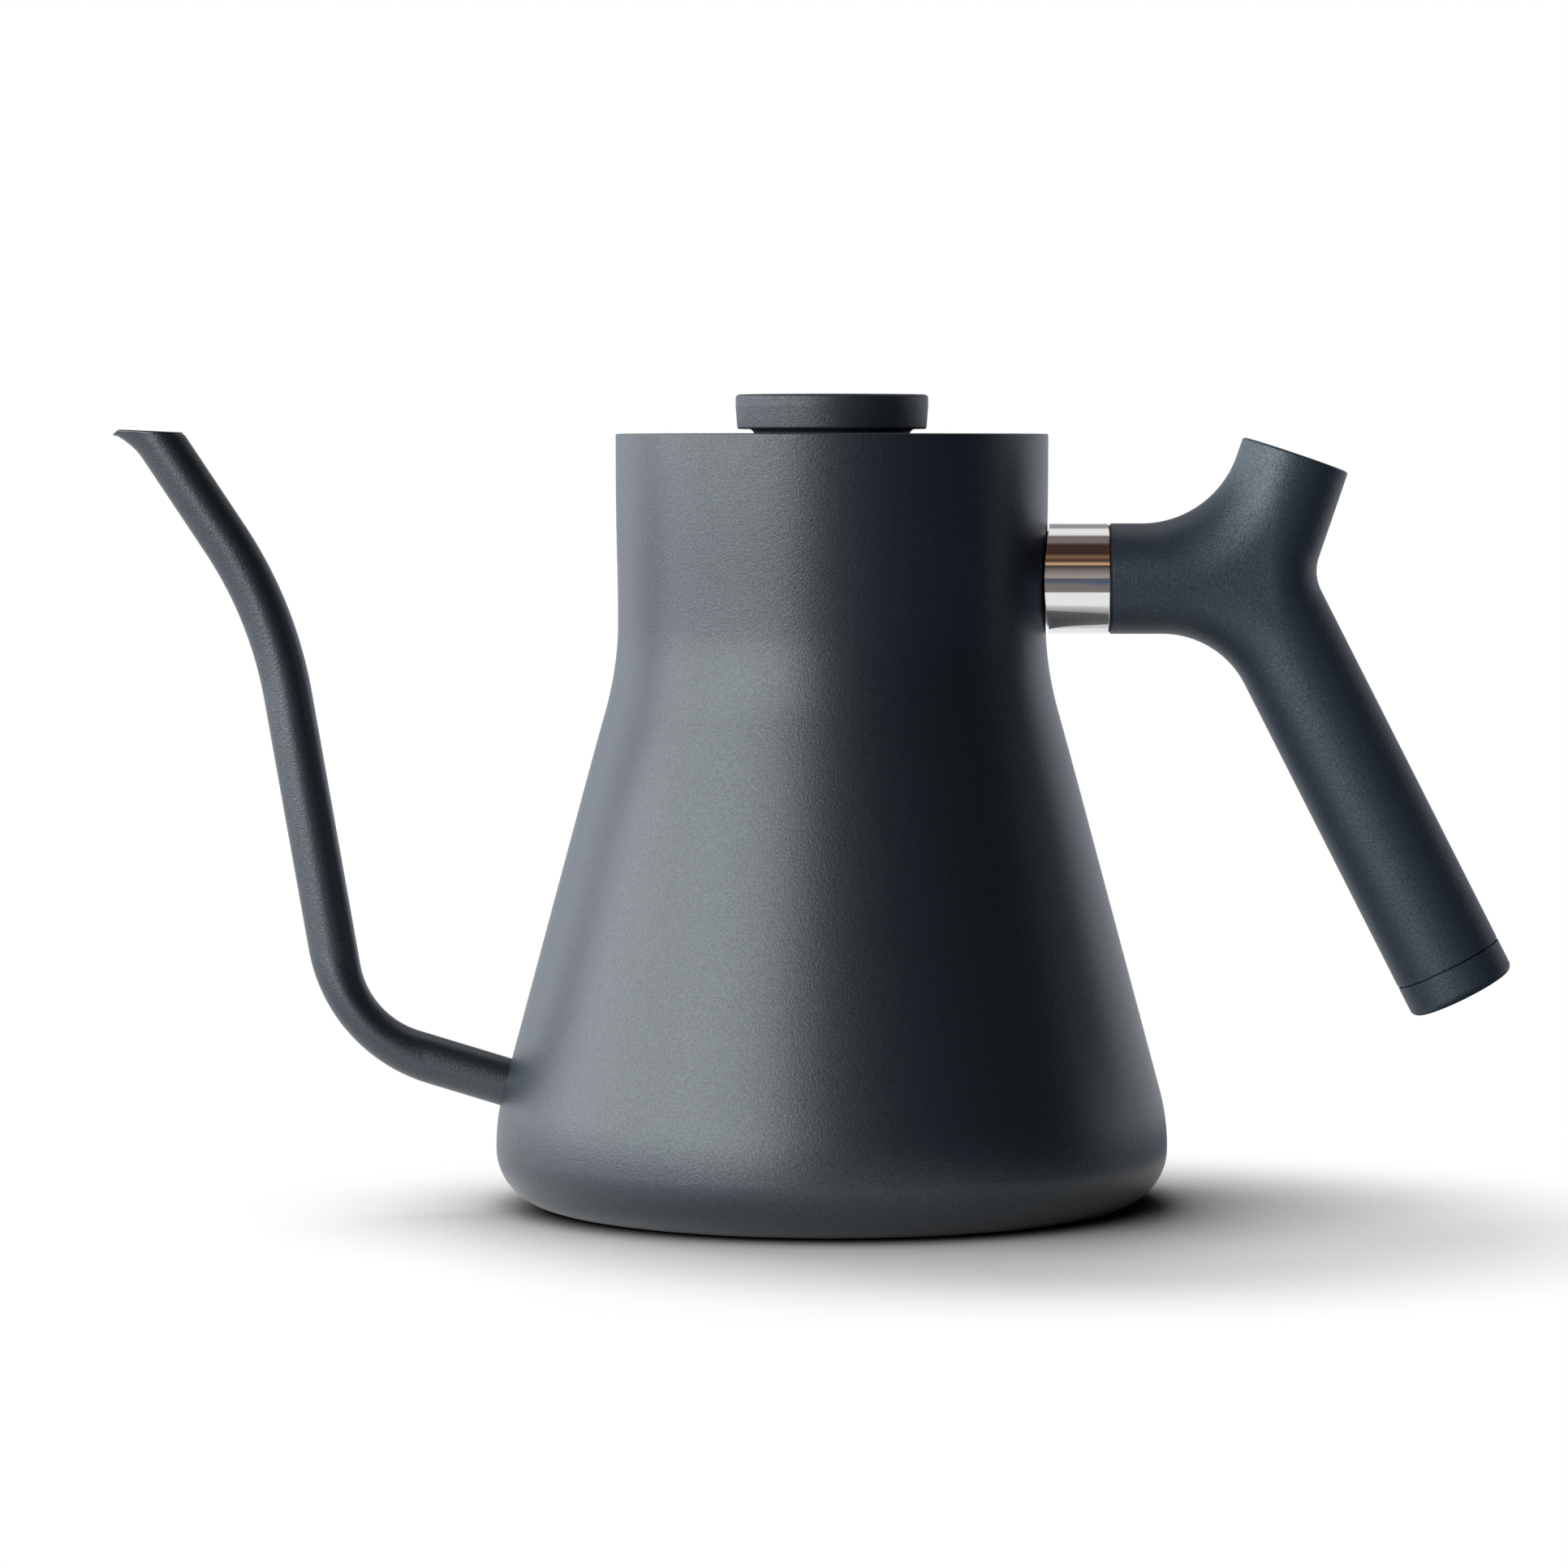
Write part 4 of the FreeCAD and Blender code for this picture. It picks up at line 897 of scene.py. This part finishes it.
def floor():
    """Pale floor, a flat square: its own colour, its shadows and a painted contact shadow near the kettle,
    plain white further out.
    """
    material = bpy.data.materials.new("pale_floor")
    material.use_nodes = True
    tree = material.node_tree
    tree.nodes.clear()
    place = add_node(tree, "ShaderNodeTexCoord").outputs["Object"]
    layers = {"Fac": whiteness(tree, place), 1: shaded_floor(tree), 2: white_floor(tree, place)}
    surface = add_node(tree, "ShaderNodeMixShader", layers).outputs[0]
    add_node(tree, "ShaderNodeOutputMaterial", {"Surface": surface})

    side = np.linspace(-FLOOR_REACH, FLOOR_REACH, FLOOR_STEPS + 1)
    x, y = np.meshgrid(side, side, indexing="ij")
    points, faces, _ = patch(np.stack([x, y, np.zeros_like(x)], -1), around=False)
    mesh = bpy.data.meshes.new("floor")
    mesh.from_pydata(points.tolist(), [], faces)
    mesh.materials.append(material)
    sheet = bpy.data.objects.new("floor", mesh)
    bpy.context.scene.collection.objects.link(sheet)


# Colours at heights from 0, straight down, to 1, straight up
ROOM_BANDS = [              # what coat and steel mirror in front
    (0.47, (0.24, 0.21, 0.20)),
    (0.50, (0.10, 0.085, 0.08)),
    (0.53, (0.40, 0.37, 0.36)),
    (0.66, (0.20, 0.17, 0.16)),
    (0.735, (0.05, 0.035, 0.03)),
    (0.757, (0.80, 0.50, 0.28)),
    (0.785, (0.40, 0.24, 0.13)),
    (0.805, (0.07, 0.042, 0.03)),
    (0.835, (0.11, 0.066, 0.042)),
    (0.865, (0.26, 0.15, 0.085)),
    (0.890, (0.12, 0.07, 0.045)),
    (0.910, (0.050, 0.028, 0.020)),
    (0.985, (0.060, 0.033, 0.024)),
    (0.997, (0.22, 0.19, 0.19)),
]
BACKDROP_BANDS = [          # what they mirror behind
    (0.60, (0.82, 0.89, 1.0)),
    (0.72, (0.36, 0.34, 0.33)),
    (0.86, (0.34, 0.32, 0.31)),
    (0.90, (0.95, 0.95, 0.95)),
]
BEHIND_FROM, BEHIND_TO = 0.14, 0.30         # how far back a direction points where the backdrop begins
ROOM_MIDDLE = 0.056                         # how far right it points where the collar mirrors the room
ROOM_CORNER = (0.012, 0.012, 0.016, 1)
CORNER_FROM, CORNER_TO = 0.05, 0.11         # how far from that middle the room's dark corners begin
ROOM_LIGHT = 0.02                           # the room's own soft light on the kettle
CEILING_LIGHT = 0.3                         # the same from straight above
CEILING_FROM, CEILING_TO = 0.6, 1.0
ROOM_LIGHT_COLOUR = (1, 0.985, 0.97, 1)


def studio():
    """White all round for the camera; to coat and steel, white behind and a dim warm room in front."""
    world = bpy.data.worlds.new("studio")
    bpy.context.scene.world = world
    world.use_nodes = True
    tree = world.node_tree
    tree.nodes.clear()
    direction = add_node(tree, "ShaderNodeTexCoord").outputs["Generated"]
    parts = add_node(tree, "ShaderNodeSeparateXYZ", {"Vector": direction}).outputs
    height = add_node(tree, "ShaderNodeMapRange", {"Value": parts["Z"], "From Min": -1.0}).outputs["Result"]
    to_camera = light_path(tree, "Is Camera Ray")

    aside = combine(tree, "SUBTRACT", parts["X"], ROOM_MIDDLE)
    off_middle = add_node(tree, "ShaderNodeMath", {0: aside}, operation="ABSOLUTE").outputs[0]
    corner = ease(tree, off_middle, CORNER_FROM, CORNER_TO)
    room = blend(tree, corner, banded(tree, height, ROOM_BANDS), ROOM_CORNER)
    backdrop = blend(tree, to_camera, banded(tree, height, BACKDROP_BANDS), WHITE)
    behind = combine(tree, "MAXIMUM", ease(tree, parts["Y"], BEHIND_FROM, BEHIND_TO), to_camera)
    shown = add_node(tree, "ShaderNodeBackground", {"Color": blend(tree, behind, room, backdrop)})

    strength = ease(tree, parts["Z"], CEILING_FROM, CEILING_TO, low=ROOM_LIGHT, high=CEILING_LIGHT)
    soft = add_node(tree, "ShaderNodeBackground", {"Color": ROOM_LIGHT_COLOUR, "Strength": strength})
    layers = {"Fac": in_sight(tree), 1: soft.outputs[0], 2: shown.outputs[0]}
    surface = add_node(tree, "ShaderNodeMixShader", layers).outputs[0]
    add_node(tree, "ShaderNodeOutputWorld", {"Surface": surface})


def aim(holder, place, target):
    """Puts a lamp or camera into the scene, tipped and turned to look from its place to a target."""
    holder.location = place
    direction = np.subtract(target, place)
    level = math.hypot(direction[0], direction[1])
    tip = math.pi / 2 + math.atan2(direction[2], level)
    turn = math.atan2(direction[1], direction[0]) - math.pi / 2
    holder.rotation_euler = (tip, 0, turn)
    bpy.context.scene.collection.objects.link(holder)


BOX_HEIGHT = 0.80
DAYLIGHT = (0.97, 0.99, 1.0)
SKYLIGHT = (0.95, 0.98, 1.0)
WARM_LIGHT = (1.0, 0.985, 0.96)


def soft_box(name, place, target, width, power, colour, mirrored=True):
    """Rectangular soft light; one that isn't mirrored leaves no highlight on coat, steel or lens."""
    lamp = bpy.data.lights.new(name, "AREA")
    lamp.shape = "RECTANGLE"
    lamp.size = width
    lamp.size_y = BOX_HEIGHT
    lamp.energy = power
    lamp.color = colour
    holder = bpy.data.objects.new(name, lamp)
    holder.visible_glossy = mirrored
    holder.visible_transmission = mirrored
    aim(holder, place, target)


def lamps():
    """Window on the left in two strengths, a weaker one further back, and a light behind for the floor."""
    soft_box("window_left", place=(-0.680, -0.971, 0.40), target=(0.250, -0.511, 0.08),
             width=1.14, power=16.8, colour=DAYLIGHT)
    soft_box("window_left_back", place=(-1.163, 0.010, 0.40), target=(-0.233, 0.470, 0.08),
             width=1.05, power=13.0, colour=DAYLIGHT)
    soft_box("window_far_left", place=(-0.95, 0.66, 0.40), target=(0, 0, 0.08),
             width=0.80, power=2.4, colour=SKYLIGHT)
    soft_box("back_light", place=(-0.3, 0.95, 0.80), target=(0, 0, 0),
             width=1.1, power=16.0, colour=WARM_LIGHT, mirrored=False)


CAMERA_PLACE = (-0.010, -1.213, 0.157)
CAMERA_PITCH = math.radians(-3.27)
FOCAL_LENGTH = 7147 / 1932                  # in frame widths
SENSOR = 36.0


def camera():
    """Long lens, level with the neck and tipped down a little, as in the photograph."""
    lens = bpy.data.cameras.new("camera")
    lens.sensor_width = SENSOR
    lens.lens = SENSOR * FOCAL_LENGTH
    holder = bpy.data.objects.new("camera", lens)
    ahead = (CAMERA_PLACE[0], CAMERA_PLACE[1] + 1, CAMERA_PLACE[2] + math.tan(CAMERA_PITCH))
    aim(holder, CAMERA_PLACE, ahead)
    bpy.context.scene.camera = holder


floor()
studio()
lamps()
camera()
bpy.context.scene.view_settings.view_transform = "Standard"
